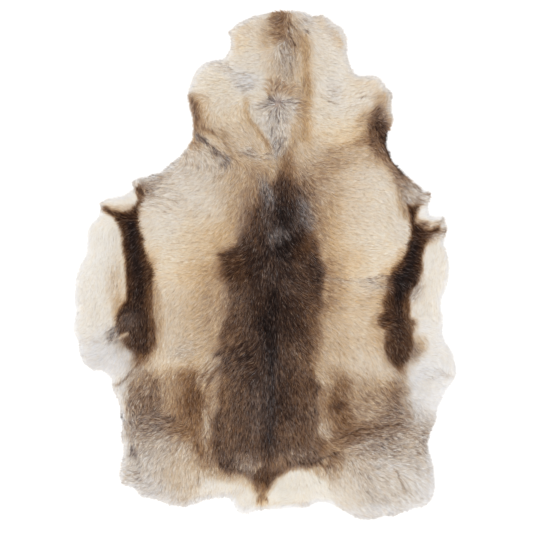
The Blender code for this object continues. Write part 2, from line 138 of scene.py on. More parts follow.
CHART = [
    # -- ground ------------------------------------------------------------
    Blob("neck", "cream", 285, 75, 125, 75, 0, 0.5, 1.0),
    Blob("neck, left light", "ivory", 222, 80, 50, 28, 0, 0.8, 0.95),
    Blob("neck, middle light", "ivory", 262, 70, 16, 22, 0, 0.9, 0.6),
    Blob("neck, right light", "ivory", 336, 92, 30, 54, 0, 0.9, 0.6),
    Blob("neck, lower left, warm", "straw", 222, 106, 30, 16, 0, 0.9, 0.7),
    Blob("neck, lower right, warm", "straw", 336, 130, 36, 14, -6, 0.9, 1),
    Blob("neck foot, left", "sand", 240, 144, 42, 22, 14, 0.8, 0.6),
    Blob("neck foot, right", "sand", 318, 150, 36, 15, 0, 0.9, 0.25),
    Line("throat band, right", "fawn", 0.8, 6, 7, [(372, 137), (360, 143), (346, 147), (330, 153)]),
    Blob("withers, left", "tan", 242, 186, 24, 34, 10, 0.9, 0.65),
    Blob("withers, right", "tan", 320, 198, 20, 40, 0, 0.9, 0.9),
    Blob("shoulder, left pale", "cream", 178, 212, 36, 38, 0, 0.7, 1.0),
    Blob("shoulder, left ashen", "pearl", 160, 184, 34, 18, -14, 0.9, 0.8),
    Blob("neck corner, left ashen", "pearl", 200, 162, 28, 16, 25, 0.9, 0.55),
    Blob("shoulder, right pale", "cream", 376, 196, 26, 40, 0, 0.8, 0.9),
    Blob("flank, right pale", "straw", 384, 246, 38, 46, 0, 0.8, 0.95),
    Blob("rib, right", "sand", 350, 226, 22, 60, 0, 0.9, 0.6),
    Blob("flank, left pale", "straw", 166, 264, 30, 30, 0, 0.9, 0.75),
    Blob("flank, left middle", "sand", 186, 262, 22, 46, 0, 0.9, 0.6),
    Blob("rib, left ochre", "ochre", 214, 250, 14, 32, 10, 0.9, 0.65),
    Blob("rib, left ochre, low", "ochre", 200, 288, 18, 32, 6, 0.9, 0.8),
    Blob("rib, left low", "tan", 210, 322, 18, 60, 0, 0.9, 0.8),
    Blob("rib, right ochre", "ochre", 334, 270, 14, 50, -4, 0.9, 0.9),
    Blob("rib, right low", "tan", 330, 340, 14, 44, 0, 0.9, 0.6),
    Blob("flank, left low", "sand", 176, 322, 26, 50, 0, 0.9, 0.7),
    Blob("flank, right low", "sand", 362, 322, 34, 54, 0, 0.9, 0.9),
    Blob("flank, right foot", "cream", 364, 364, 28, 22, 0, 0.8, 0.75),
    Blob("flank, right gilt", "straw", 372, 258, 34, 24, 0, 0.9, 0.95),
    Blob("withers, right, ochre side", "ochre", 317, 226, 7, 15, -8, 0.9, 0.6),
    Line("flank, right, gilt wash", "honey", 0.34, 18, 16, [(394, 256), (373, 303), (350, 350)]),
    Blob("rib, right, dusk wisps", "hazel", 328, 308, 5, 9, 0, 0.9, 0.5),
    Blob("flank, left gilt", "straw", 168, 262, 26, 28, 0, 0.9, 0.9),
    Blob("shoulder, left light", "ivory", 160, 226, 18, 18, 0, 0.9, 0.6),
    Blob("flank, right cream", "cream", 374, 226, 24, 30, 0, 0.9, 0.4),
    Line("rib, right edge", "hazel", 0.7, 4, 5, [(331, 258), (332, 280), (331, 302)]),
    Line("flank, left, band side", "tan", 0.5, 3, 4, [(153, 270), (156, 290), (156, 320), (157, 345)]),
    Blob("shoulder, left, middle light", "cream", 186, 188, 26, 14, 0, 0.9, 0.6),
    Blob("shoulder, left, inner light", "cream", 214, 212, 16, 22, 0, 0.9, 0.55),
    Blob("shoulder, left, foot light", "straw", 197, 240, 14, 26, 35, 0.9, 0.5),
    Blob("shoulder, left, upper light", "cream", 199, 166, 16, 8, 20, 0.9, 0.45),
    Blob("flank, left, band glow", "ochre", 152, 266, 6, 14, 0, 0.9, 0.35),
    Blob("flank, left gilt", "straw", 205, 238, 22, 12, -20, 0.9, 0.6),
    Blob("flank, left gilt, middle", "ochre", 198, 268, 18, 10, 0, 0.9, 0.3),
    Blob("flank, left, saddle side", "ochre", 224, 232, 6, 16, 17, 0.9, 0.4),
    Blob("flank, left gilt, low", "ochre", 175, 320, 13, 16, 0, 0.9, 0.28),
    Blob("flank, right, low shade", "tan", 344, 350, 13, 12, 0, 0.9, 0.35),
    Blob("flank, right, low gilt", "ochre", 360, 303, 22, 10, 0, 0.9, 0.1),
    Blob("flank, right, rust spot", "ochre", 322, 280, 9, 8, 0, 0.9, 0.5),
    Blob("flank, right, crease light", "sand", 378, 288, 12, 9, 0, 0.9, 0.8),
    Blob("haunch, left, upper shade", "fawn", 186, 363, 9, 7, 0, 0.9, 0.45),
    Blob("shoulder, left, rear light", "straw", 206, 254, 8, 10, 0, 0.9, 0.5),
    Blob("withers, left, light", "sand", 240, 205, 8, 14, 0, 0.9, 0.4),
    Blob("neck foot, left light", "cream", 232, 145, 20, 7, 35, 0.9, 0.45),
    Blob("neck foot, light", "sand", 285, 151, 12, 8, 0, 0.9, 0.9),
    Blob("flank, right, rear gilt", "ochre", 354, 258, 13, 12, 0, 0.9, 0.35),
    Blob("flank, right, band glow", "ochre", 386, 284, 8, 24, 0, 0.9, 0.4),
    Blob("flank, right, upper ashen", "mist", 404, 230, 10, 18, 0, 0.9, 0.4),
    Blob("shoulder, left, tuft shade", "smoke", 148, 190, 6, 7, 0, 0.8, 0.7),
    Blob("flank, left, foot light", "straw", 172, 362, 30, 12, 0, 0.9, 0.6),
    Blob("flank, left, low light", "cream", 172, 322, 12, 36, 0, 0.9, 0.45),
    Blob("withers, right, brown", "hazel", 307, 194, 9, 11, 0, 0.8, 0.95),
    Blob("withers, left, brown", "fawn", 238, 236, 9, 14, 0, 0.8, 0.45),
    Blob("withers, left, brown, upper", "hazel", 232, 208, 6, 12, 0, 0.9, 0.15),
    Blob("withers, left, dark side", "hazel", 256, 180, 7, 15, 0, 0.8, 0.3),
    Blob("shoulder, left, rim ashen", "smoke", 158, 179, 9, 4, -22, 0.8, 0.5),
    Blob("rib, left gilt", "ochre", 210, 238, 22, 14, 0, 0.9, 0.35),
    Blob("rib, left, gilt upper", "straw", 196, 222, 14, 7, 0, 0.9, 0.4),
    Blob("neck corner, left tan", "fawn", 194, 144, 8, 7, 0, 0.8, 0.7),
    Blob("throat band, right, shade", "fawn", 336, 163, 20, 8, -14, 0.9, 0.6),
    Blob("shoulder, right, inner rim", "tan", 374, 156, 10, 9, 40, 0.9, 0.7),
    Blob("rib, right, shade", "fawn", 338, 284, 8, 22, 0, 0.9, 0.55),
    # -- haunches ----------------------------------------------------------
    Shape(
        "haunch, left",
        "beige",
        1.0,
        6,
        [(108, 384), (128, 376), (142, 372), (160, 376), (180, 374), (200, 376), (212, 400)]
        + [(212, 450), (214, 480), (196, 514), (112, 500), (112, 430)],
    ),
    Blob("haunch, left, rear ashen", "pearl", 142, 468, 30, 36, 0, 0.8, 0.9),
    Blob("haunch, left, side", "smoke", 134, 412, 14, 30, 0, 0.9, 0.5),
    Blob("haunch, left, wisps", "smoke", 150, 428, 28, 11, -4, 0.9, 0.85),
    Blob("haunch, left, brown", "hazel", 147, 386, 14, 14, 0, 0.8, 0.9),
    Blob("haunch, left, dusk", "taupe", 146, 404, 17, 18, 0, 0.8, 0.9),
    Blob("haunch, left, dusk core", "bark", 154, 404, 8, 10, 0, 0.8, 0.9),
    Blob("haunch, left, dusk foot", "taupe", 150, 417, 13, 10, 0, 0.9, 0.8),
    Blob("haunch, left, tan", "fawn", 172, 398, 13, 25, 0, 0.6, 0.7),
    Blob("haunch, left, russet", "russet", 192, 406, 15, 30, 0, 0.6, 1),
    Blob("haunch, left, russet core", "umber", 192, 406, 7, 14, 0, 0.9, 0.35),
    Blob("haunch, left, tan gilt", "ochre", 174, 398, 11, 22, 0, 0.9, 0.3),
    Blob("haunch, left, russet foot", "hazel", 184, 428, 16, 11, 0, 0.9, 0.9),
    Line("haunch, left, inner brown", "hazel", 0.7, 8, 5, [(196, 420), (196, 440), (199, 452), (203, 464)]),
    Line("haunch, left, parting", "beige", 0.4, 2.6, 3, [(162, 378), (163, 390), (163, 404)]),
    Line("rump, left, parting", "hazel", 0.55, 7, 6, [(210, 384), (209, 402), (207, 420)]),
    Line("rump, left, parting, light", "beige", 0.85, 5, 4, [(205, 410), (206, 426), (206, 440)]),
    Blob("rump, left, foot", "russet", 203, 450, 11, 12, 0, 0.8, 0.5),
    Blob("rump, left, foot, dark", "bark", 212, 462, 6, 7, 0, 0.8, 0.4),
    Blob("haunch, left, rear grey", "smoke", 152, 449, 17, 8, 0, 0.9, 0.35),
    Blob("haunch, left, upper russet", "russet", 190, 377, 11, 7, 0, 0.8, 0.7),
    Blob("haunch, left, dark wisp", "taupe", 166, 419, 8, 3.5, 6, 0.8, 0.5),
    Blob("haunch, left, slate spot", "slate", 134, 452, 3.4, 6, 0, 0.8, 0.6),
    Blob("haunch, left, hem", "mist", 150, 488, 22, 8, 12, 0.9, 0.8),
    Blob("haunch, left, rear warm", "sand", 182, 476, 20, 20, 0, 0.9, 0.6),
    Blob("haunch, left, rear cream", "cream", 188, 486, 14, 16, 0, 0.9, 0.6),
    Line(
        "haunch, left, rim",
        "cream",
        0.7,
        5,
        4,
        [(114, 388), (120, 400), (121, 420), (123, 445), (123, 465), (121, 478)],
    ),
    Blob("haunch, left, rim light", "mist", 126, 442, 7, 22, 0, 0.9, 0.6),
    Blob("haunch, left, rim light, upper", "mist", 122, 390, 7, 10, 0, 0.9, 0.85),
    Blob("haunch, left, pale side", "pearl", 132, 440, 9, 13, 10, 0.9, 0.45),
    Line("haunch, left, hem pale", "mist", 0.7, 9, 6, [(126, 487), (142, 497), (160, 502), (182, 507), (200, 504)]),
    Shape(
        "haunch, right",
        "beige",
        1.0,
        6,
        [(322, 396), (330, 386), (340, 384), (352, 392), (372, 394), (388, 386), (396, 374)]
        + [(406, 372), (412, 388), (418, 404), (434, 420), (444, 424)]
        + [(436, 470), (444, 512), (370, 534), (336, 506), (328, 470), (318, 440)],
    ),
    Blob("haunch, right, rear ashen", "pearl", 408, 478, 34, 34, 0, 0.8, 0.9),
    Blob("haunch, right, rear pale", "pearl", 386, 494, 48, 22, 0, 0.9, 0.75),
    Blob("haunch, right, rear cream", "cream", 348, 498, 15, 20, -10, 0.9, 0.85),
    Blob("haunch, right, rear corner", "frost", 418, 488, 16, 16, 0, 0.9, 0.6),
    Blob("haunch, right, middle", "fawn", 362, 396, 24, 20, 0, 0.9, 0.6),
    Blob("haunch, right, side", "taupe", 396, 410, 14, 20, 0, 0.9, 0.95),
    Blob("haunch, right, ashen side", "smoke", 386, 434, 24, 11, 0, 0.9, 0.5),
    Blob("haunch, right, grey rim", "smoke", 425, 436, 8, 14, 0, 0.9, 0.65),
    Blob("haunch, right, grey point", "ash", 418, 412, 12, 12, 30, 0.9, 0.9),
    Blob("haunch, right, hip grey", "smoke", 376, 448, 22, 10, 0, 0.9, 0.45),
    Blob("haunch, right, hazel", "hazel", 399, 394, 11, 11, 0, 0.8, 1),
    Blob("haunch, right, hazel core", "bark", 398, 393, 6, 8, 0, 0.9, 0.7),
    Line("haunch, right, side line", "hazel", 0.9, 5, 4, [(397, 386), (403, 402), (410, 416)]),
    Blob("haunch, right, rear gilt", "cream", 392, 486, 20, 14, 0, 0.9, 0.5),
    Blob("haunch, right, upper brown", "hazel", 344, 385, 8, 8, 0, 0.8, 0.85),
    Blob("haunch, right, umber", "russet", 336, 408, 13, 18, -6, 0.8, 1),
    Blob("haunch, right, umber core", "umber", 338, 409, 8, 8, 0, 0.8, 0.85),
    Blob("haunch, right, fold warm, upper", "hazel", 342, 421, 11, 9, 0, 0.8, 0.8),
    Blob("haunch, right, fold warm", "russet", 352, 428, 22, 9, -8, 0.8, 0.6),
    Blob("haunch, right, fold warm, low", "hazel", 350, 438, 14, 6, -8, 0.8, 0.8),
    Blob("haunch, right, fold foot", "hazel", 334, 446, 14, 9, 0, 0.8, 0.45),
    Blob("saddle, rear corner, rust", "rust", 318, 450, 9, 8, 0, 0.9, 0.75),
    Blob("rump, right, hip brown", "hazel", 332, 460, 9, 9, 0, 0.8, 0.4),
    # painted shade: dark lines in the folds and wrinkles of the hide
    Line(
        "haunch, right, fold",
        "umber",
        0.4,
        3,
        4,
        [(334, 438), (350, 433), (370, 429), (392, 425), (404, 420)],
    ),
    Line("haunch, right, second fold", "taupe", 0.6, 3, 4, [(346, 441), (366, 438), (386, 441), (394, 443)]),
    Line("haunch, right, wrinkle", "umber", 0.9, 1.4, 1.2, [(333, 441), (345, 435), (360, 430), (378, 429), (392, 426), (402, 424)]),
    Line("haunch, right, wrinkle, low", "umber", 0.8, 1.3, 1.2, [(345, 442), (358, 435), (375, 434)]),
    Line("haunch, right, wrinkle, foot", "bark", 0.8, 1.3, 1.2, [(342, 448), (352, 443), (366, 441)]),
    Line("haunch, right, gap", "fawn", 0.65, 9, 6, [(325, 394), (324, 406), (325, 420)]),
    Blob("haunch, right, gap foot", "beige", 328, 430, 6, 8, 0, 0.9, 0.6),
    Blob("haunch, right, rear light", "pearl", 388, 466, 9, 7, 20, 0.9, 0.8),
    # painted shade in a crease of the hide
    Line("haunch, right, crease", "taupe", 0.6, 1.3, 1.2, [(397, 471), (401, 480), (406, 491)]),
    Blob("haunch, right, hem", "frost", 376, 512, 34, 7, -4, 0.9, 0.7),
    Blob("haunch, right, hem warm", "cream", 342, 495, 11, 18, 0, 0.9, 0.9),
    Blob("haunch, right, upper shade", "hazel", 337, 374, 9, 7, 0, 0.9, 0.5),
    Line("haunch, right, rim", "frost", 0.85, 7, 6, [(431, 440), (434, 462), (436, 482), (430, 500), (412, 510)]),
    # painted shade in a fold of the hide
    Line("stifle fold", "taupe", 0.35, 1.4, 1.6, [(393, 464), (398, 474), (405, 494)]),
    # -- rump --------------------------------------------------------------
    Shape(
        "rump, left white",
        "milk",
        0.95,
        5,
        [(204, 478), (222, 480), (240, 482), (250, 487), (256, 493), (258, 512)]
        + [(246, 524), (234, 516), (228, 504), (204, 508), (196, 500)],
    ),
    Blob("rump, left cream", "ochre", 254, 487, 7, 5, 0, 0.9, 0.7),
    Shape(
        "rump, right white",
        "butter",
        1.0,
        3.5,
        [(265, 516.5), (265.5, 496.5), (271, 488), (277.5, 479), (287.5, 472.5), (299.5, 468.5)]
        + [(311.5, 473), (319.5, 477), (327.5, 480.5), (331, 490), (338, 512), (312, 514)],
    ),
    Line("rump, right, rust line", "straw", 0.8, 2.2, 2.5, [(268, 498), (276, 503), (296, 504), (309, 506)]),
    Line("rump, hem pale", "frost", 0.9, 7, 5, [(222, 498), (232, 503), (238, 511), (262, 512), (280, 509), (310, 508), (330, 504)]),
    Blob("rump, right, gilt foot", "sand", 303, 506, 8, 3, 0, 0.9, 0.5),
    Blob("rump, right, pale foot", "milk", 314, 494, 22, 7, 0, 0.9, 0.6),
    # -- belly -------------------------------------------------------------
    Shape(
        "belly, left",
        "milk",
        1.0,
        3.0,
        [(96, 208), (118.5, 221), (121.5, 238), (123.5, 255), (126.5, 290), (118.5, 305)]
        + [(114.5, 324), (120, 340.5), (126.5, 350), (132, 360.5), (129.5, 368.5), (123, 377)]
        + [(112.5, 384.5), (100, 390), (60, 370), (60, 260), (80, 220)],
    ),
    Blob("belly, left, by the band", "sand", 117, 284, 10, 40, 0, 0.8, 0.6),
    Blob("belly, left, dull", "beige", 114, 282, 7, 14, 0, 0.9, 0.25),
    Blob("belly, left, outer edge", "white", 82, 290, 12, 70, 4, 0.9, 0.7),
    Blob("belly, left, upper light", "white", 106, 248, 12, 26, 0, 0.9, 0.5),
    Blob("belly, left, foot", "mist", 106, 358, 34, 22, 0, 0.8, 1.0),
    Blob("belly, left, heel light", "frost", 98, 342, 20, 8, -50, 0.9, 0.6),
    Blob("belly, left, grey wisps", "ash", 114, 334, 9, 8, -40, 0.9, 0.55),
    # painted shade in a fold of the belly
    Blob("belly, left, foot fold", "ash", 96, 341, 18, 3, -4, 0.9, 0.2),
    Shape(
        "belly, right",
        "milk",
        1.0,
        3.5,
        [(420.5, 262), (422.5, 250), (432.5, 243.5), (446, 236), (462, 260), (466, 380)]
        + [(446, 410), (434, 412), (424, 405), (413.5, 394), (406.5, 376), (407, 362)]
        + [(411.5, 345), (412, 326), (408.5, 312), (406.5, 300), (410.5, 288), (416.5, 278)],
    ),
    Blob("belly, right, outer edge", "milk", 446, 300, 12, 80, -3, 0.9, 0.6),
    Blob("belly, right, ashen", "ash", 415, 293, 7, 10, 20, 0.9, 0.9),
    Blob("belly, right, foot", "frost", 430, 386, 28, 32, 0, 0.8, 1.0),
    Blob("belly, right, foot shade", "mist", 418, 392, 14, 16, 30, 0.9, 0.5),
    Blob("belly, right, rosy", "tan", 421, 345, 6, 9, 0, 0.9, 0.7),
    Blob("belly, right, cool spot", "frost", 425, 327, 7, 7, 0, 0.9, 0.8),
    Blob("belly, right, foot, warm", "ivory", 430, 386, 9, 8, 0, 0.9, 0.5),
    Blob("haunch, right, side shade", "hazel", 400, 389, 9, 8, 0, 0.9, 0.5),
    Blob("belly, right, cool rim", "frost", 440, 338, 7, 12, 0, 0.9, 0.6),
    # painted shade in a fold of the belly
    Line("belly, right, fold", "ash", 0.25, 1.6, 2, [(420, 370), (434, 373), (448, 379)]),
    # -- flank bands -------------------------------------------------------
    Shape(
        "foreleg, left white",
        "milk",
        0.95,
        2.2,
        [(100, 197.5), (118, 193), (133, 187.5), (138.5, 197), (135, 202.5), (126, 205)]
        + [(114, 206.5), (103.5, 203.5)],
    ),
    Shape(
        "band, left",
        "cocoa",
        1.0,
        2.4,
        [(103, 206), (111, 210), (120.5, 212), (127.5, 210), (134, 205.5), (139, 200)]
        + [(136.5, 193), (135, 186), (138.5, 185), (147.5, 190), (142.5, 199), (138, 207)]
        + [(138, 214), (139, 228.5), (143, 240.5), (146.5, 253), (149, 263.5), (153.5, 270)]
        + [(153, 280.5), (152.5, 296), (153.5, 316), (156.5, 334), (155.5, 345.5), (148, 357.5)]
        + [(140, 364.5), (137.5, 366.5), (135, 357.5), (127, 348.5), (122, 340), (119, 336)]
        + [(117, 328), (115.5, 316), (120.5, 307), (126, 300), (127, 288), (125, 272)]
        + [(123.5, 254), (122, 238), (118.5, 226), (113.5, 217), (102, 209.5)],
    ),
    Line("band, left core", "ink", 0.8, 9, 4, [(131, 224), (133, 244), (137, 268)]),
    Line("band, left core, low", "ink", 0.5, 10, 5, [(138, 268), (139, 290), (137, 306), (140, 330)]),
    Blob("band, left, brown foot", "umber", 142, 346, 8, 14, 0, 0.7, 0.2),
    Blob("band, left, foot, dull", "sable", 136, 338, 14, 24, 0, 0.8, 0.7),
    Line("band, left, brown side", "hazel", 0.55, 5, 4, [(148, 285), (150, 310), (152, 330), (151, 348)]),
    Line("band, left, right haze", "fawn", 0.55, 5, 5, [(154, 284), (157, 305), (159, 325), (158, 343), (151, 356), (144, 364)]),
    Line("band, left, lump top", "ink", 0.6, 4, 3, [(121, 313), (130, 309), (140, 312)]),
    Blob("band, left, tip", "hazel", 139, 360, 8, 6, 0, 0.9, 0.7),
    Blob("band, left, tip, pale side", "mist", 127, 354, 6, 6, 40, 0.9, 0.7),
    Blob("band, left, tuft", "bark", 142, 190, 4, 7, 0, 0.9, 0.6),
    Blob("band, left, dusky", "dusk", 128, 321, 10, 9, 0, 0.8, 0.9),
    Line("band, left, pale tuft", "milk", 0.95, 3, 2, [(115, 341), (121, 337), (127, 334)]),
    Blob("band, left, heel", "cocoa", 129, 342, 7, 5, 0, 0.8, 0.25),
    Shape(
        "foreleg, right",
        "ash",
        0.75,
        4,
        [(394, 162), (402.5, 172), (423, 187.5), (434, 195.5), (426.5, 204.5), (412, 205.5)]
        + [(403, 208.5), (398, 192), (394, 174.5)],
    ),
    Blob("foreleg, right ashen", "pearl", 417, 190, 12, 7, 38, 0.9, 0.45),
    Blob("foreleg, right dusk", "taupe", 405, 184, 6, 7, 0, 0.9, 0.35),
    Line("foreleg, right inner edge", "hazel", 0.45, 5, 5, [(382, 148), (391, 165), (398, 182), (400, 196), (403, 206)]),
    Blob("foreleg, right brown haze", "tan", 405, 212, 4, 7, -10, 0.9, 0.9),
    Shape(
        "notch, right white",
        "white",
        0.95,
        1.8,
        [(419, 209), (429, 206), (444, 206), (446, 219), (430, 220), (419, 219)],
    ),
    Shape(
        "notch, right lip",
        "beige",
        0.9,
        1.4,
        [(427, 222), (432, 221), (441, 220), (443, 226), (435, 228), (430, 227)],
    ),
    Blob("notch, right lip shade", "bark", 423, 225, 6, 4, 0, 0.8, 0.8),
    Shape(
        "band, right",
        "cocoa",
        1.0,
        2.4,
        [(408, 205), (411, 206), (421, 205), (419.5, 208), (416, 216), (415.5, 224)]
        + [(424, 228), (432, 229), (439, 226), (441.5, 231), (435.5, 236), (430.5, 241)]
        + [(425.5, 246.5), (422, 258), (423, 270), (418.5, 280.5), (412, 290), (409, 300)]
        + [(410.5, 312), (410, 318.5), (417, 321), (413.5, 328), (414, 340), (414, 351)]
        + [(407, 362), (401.5, 372.5), (400, 372), (392.5, 364), (387, 356.5), (384.5, 348)]
        + [(385, 340), (386.5, 330.5), (379, 326), (378.5, 317), (385, 313), (383.5, 304)]
        + [(387.5, 290), (389, 276.5), (396.5, 266), (402, 259), (407.5, 249), (410, 238)]
        + [(410.5, 226), (409, 215.5)],
    ),
    Line("band, right core", "ink", 0.9, 8, 4, [(415, 246), (412, 262), (404, 280), (399, 296)]),
    Line("band, right core, upper", "soot", 0.6, 4, 3, [(416, 230), (416, 246)]),
    Line("band, right core, low", "ink", 0.4, 8, 4, [(399, 290), (398, 312), (400, 336)]),
    Line("band, right, rust edge", "russet", 0.25, 5, 4, [(398, 270), (395, 282), (391, 296), (389, 312)]),
    Line("band, right, left haze", "fawn", 0.35, 5, 5, [(384, 292), (382, 310), (378, 326), (381, 340), (382, 352), (389, 364)]),
    Line("band, right, inner brown", "hazel", 0.5, 5, 4, [(389, 326), (389, 342), (391, 358)]),
    Line("band, right, right haze", "taupe", 0.1, 4, 4, [(413, 296), (413, 312), (418, 322), (417, 336), (417, 350)]),
    Blob("band, right, tip, pale side", "cream", 388, 372, 7, 6, 0, 0.9, 0.6),
    Blob("band, right, foot", "umber", 399, 350, 9, 16, 0, 0.8, 0.5),
    Blob("band, right, foot, dull", "sable", 399, 346, 13, 24, 0, 0.8, 0.35),
    Blob("band, right, heel brown", "taupe", 415, 353, 5, 8, 10, 0.9, 0.8),
    Blob("band, right, foot fade", "fawn", 403, 372, 5, 6, 0, 0.9, 0.6),
    Line("band, right, barb haze", "fawn", 0.6, 5, 4, [(376, 314), (374, 324)]),
    Blob("band, right, tuft", "smoke", 445, 232, 3, 4, 0, 0.9, 0.8),
    Blob("band, right, barb fade", "ash", 437, 236, 8, 4, -20, 0.8, 0.7),
    # -- neck markings -----------------------------------------------------
    Shape(
        "neck, right dark",
        "bark",
        1.0,
        5,
        [(378, 106), (383, 106), (387, 112), (389, 119), (388.5, 126), (386, 133)]
        + [(387.5, 142), (392, 150), (397, 158), (402, 168), (391, 167), (383, 159)]
        + [(375, 150), (370, 141), (369, 131), (370.5, 121), (373.5, 112)],
    ),
    Blob("neck, right dark core", "sable", 381.5, 130, 9, 19, -4, 0.8, 0.8),
    Line("neck, right dark, foot", "cocoa", 0.8, 8, 4, [(380, 138), (384, 147), (390, 156)]),
    Blob("neck, right dark, warm side", "hazel", 365, 125, 6, 14, 0, 0.8, 0.2),
    Blob("neck, right dark, haze", "tan", 359, 136, 8, 10, 0, 0.9, 0.35),
    Blob("neck, right dark, haze, foot", "hazel", 361, 143, 6, 6, 0, 0.9, 0.5),
    Blob("neck, right fringe", "fawn", 382, 100, 8, 7, 0, 0.9, 0.6),
    Line("neck, right edge, inner", "hazel", 1, 9, 8, [(372, 136), (380, 150), (392, 164), (404, 176)]),
    Line("neck, right edge", "umber", 0.9, 4.5, 3, [(386, 140), (389, 149), (392, 156), (396, 163), (402, 170)]),
    Line("foreleg, right, upper rim", "taupe", 0.75, 4, 3, [(402, 171), (410, 180), (420, 188)]),
    Line("neck, left dark", "bark", 0.6, 7, 4, [(189, 97), (192, 106), (193.5, 115), (194.5, 124), (196, 132)]),
    Line("neck, left dark edge", "hazel", 0.65, 6, 5, [(196, 98), (199, 108), (201, 118), (202, 130)]),
    Line("neck, left dark, fade", "tan", 0.5, 5, 6, [(203, 96), (207, 108), (208, 122)]),
    Line("neck, left brown", "fawn", 0.75, 6, 7, [(196, 127), (208, 131), (222, 136), (230, 150)]),
    Line("neck, left warm", "tan", 0.5, 7, 8, [(226, 134), (233, 152), (240, 166)]),
    Shape(
        "nape patch",
        "hazel",
        0.85,
        2.8,
        [(272, 9), (284, 7), (291, 12), (292.5, 24), (294, 38), (292.5, 47)]
        + [(284, 44), (271.5, 42), (269, 32), (269.5, 18)],
    ),
    Blob("nape patch, dark", "bark", 276, 22, 8, 5, 0, 0.8, 0.35),
    Line("nape patch, pale edge", "sand", 0.6, 4, 5, [(262, 10), (280, 8), (294, 9)]),
    Blob("nape patch, side", "fawn", 266, 30, 5, 12, 0, 0.8, 0.35),
    Blob("neck, upper left, ashen", "pearl", 250, 26, 14, 10, 0, 0.9, 0.5),
    Blob("nape, upper right, ashen", "ash", 298, 24, 5, 9, 0, 0.9, 0.5),
    Blob("nape, grey strands", "ash", 285, 62, 12, 20, 0, 0.8, 0.9),
    Blob("nape, left side", "sand", 266, 52, 9, 26, 0, 0.9, 0.5),
    Blob("nape, right side", "tan", 298, 40, 8, 16, 0, 0.9, 0.8),
    # painted shade: darker lines along the crease of the neck, with a darker warm band beside it
    Line(
        "nape crease",
        "hazel",
        0.8,
        3.4,
        5,
        [(303, 40), (305, 50), (307, 58), (307, 66), (306, 74), (308, 84), (307, 98)]
        + [(306, 110), (305, 122), (304, 138)],
    ),
    Line("nape crease, warm side", "ochre", 0.7, 10, 7, [(306, 44), (309, 90), (306, 140)]),
    Line("nape crease, dark", "hazel", 0.6, 3, 3, [(304, 82), (303, 92)]),
    Line("whorl, right side", "fawn", 0.8, 8, 7, [(301, 100), (298, 118), (294, 138), (288, 156)]),
    Blob("whorl, brown crown", "tan", 274, 86, 8, 9, 0, 0.8, 0.7),
    Blob("whorl, crown, pale side", "cream", 264, 90, 6, 7, 0, 0.9, 0.7),
    Blob("whorl, brown crown right", "fawn", 292, 90, 9, 9, 0, 0.8, 0.6),
    Shape(
        "whorl",
        "pearl",
        0.95,
        4,
        [(254, 104), (264, 98), (276, 95), (290, 97), (299, 101), (297, 110), (293, 122)]
        + [(289, 134), (284, 146), (277, 158), (270, 158), (270, 148), (266, 138), (260, 124)],
    ),
    Blob("whorl, grey heart", "ash", 276, 108, 12, 13, 0, 0.8, 0.8),
    Blob("whorl, grey foot", "ash", 279, 146, 7, 12, 8, 0.8, 0.5),
    Blob("whorl, dark eye", "slate", 270, 97, 3, 3, 0, 0.8, 0.6),
    Blob("whorl, pale side", "cream", 256, 112, 6, 11, -24, 0.9, 0.95),
    Blob("whorl, foot, warm strands", "cream", 290, 126, 8, 15, 0, 0.9, 0.4),
    Blob("whorl, left, ashen", "pearl", 258, 108, 6, 5, 0, 0.9, 0.6),
    Blob("neck, left gilt", "sand", 238, 42, 8, 8, 0, 0.9, 0.85),
    Blob("neck foot, left gilt", "ochre", 242, 120, 22, 8, 23, 0.9, 0.3),
    Line("neck ridge", "ochre", 0.75, 4, 4, [(245, 100), (246, 110), (248, 119), (254, 127), (261, 135), (267, 143), (271, 151)]),
    Line("neck ridge, edge", "hazel", 0.6, 1.6, 2, [(246, 112), (249, 120), (256, 128), (263, 136), (269, 146)]),
    Blob("throat wisps, left", "mist", 247, 84, 14, 11, 0, 0.8, 0.6),
    Blob("throat, left light", "frost", 243, 82, 9, 9, 0, 0.9, 0.7),
    Blob("whorl, centre", "slate", 275, 101, 9, 5, 0, 0.9, 0.35),
    Blob("whorl, left light", "ivory", 264, 122, 9, 7, 0, 0.9, 0.8),
    Blob("nape patch, left shade", "tan", 266, 38, 8, 8, 0, 0.9, 0.5),
    Line("neck, right, rim warm", "sand", 0.4, 8, 6, [(318, 14), (331, 28), (342, 44), (350, 62), (356, 80)]),
    Blob("neck, right, shade, upper", "hazel", 370, 117, 8, 7, 0, 0.9, 0.4),
    Blob("neck, right, shade, lower", "umber", 376, 139, 6, 9, 0, 0.9, 0.35),
    Line("neck, left, rim dark", "bark", 0.75, 2.6, 1.6, [(191.5, 100), (193, 110), (195, 118), (196.5, 126)]),
    Blob("neck, left gilt", "straw", 240, 44, 14, 24, 14, 0.9, 0.5),
    Blob("whorl, upper light", "pearl", 274, 122, 11, 8, 0, 0.9, 0.8),
    Blob("nape patch, right light", "beige", 289, 28, 5, 15, 0, 0.9, 0.6),
    Blob("nape corner, outer shade", "tan", 333, 32, 20, 5, 52, 0.9, 0.4),
    Line("neck, right, rim dark", "soot", 0.95, 3.6, 1.6, [(387, 134), (387.5, 140), (390, 146), (394.5, 154), (401, 164), (409, 175)]),
    Line("haunch, left, parting top", "sand", 0.85, 4, 3, [(207, 366), (205, 376), (204, 388)]),
    Blob("nape, dark spot", "bark", 293, 46, 5, 4, 0, 0.8, 0.35),
    Blob("neck, left, warm middle", "straw", 216, 84, 16, 14, 0, 0.9, 0.6),
    Blob("neck, left, warm fold", "straw", 232, 116, 16, 7, 0, 0.9, 0.8),
    Blob("neck, upper left, warm", "cream", 246, 64, 14, 8, 0, 0.9, 0.7),
    Blob("nape, warm strands", "sand", 276, 70, 8, 12, 0, 0.9, 0.5),
    Blob("nape, warm strands, right", "sand", 296, 70, 6, 12, 0, 0.9, 0.6),
    Blob("neck, right, warm middle", "straw", 350, 93, 12, 12, 0, 0.9, 0.5),
    Blob("neck, right, warm inner", "straw", 322, 103, 8, 12, 0, 0.9, 0.55),
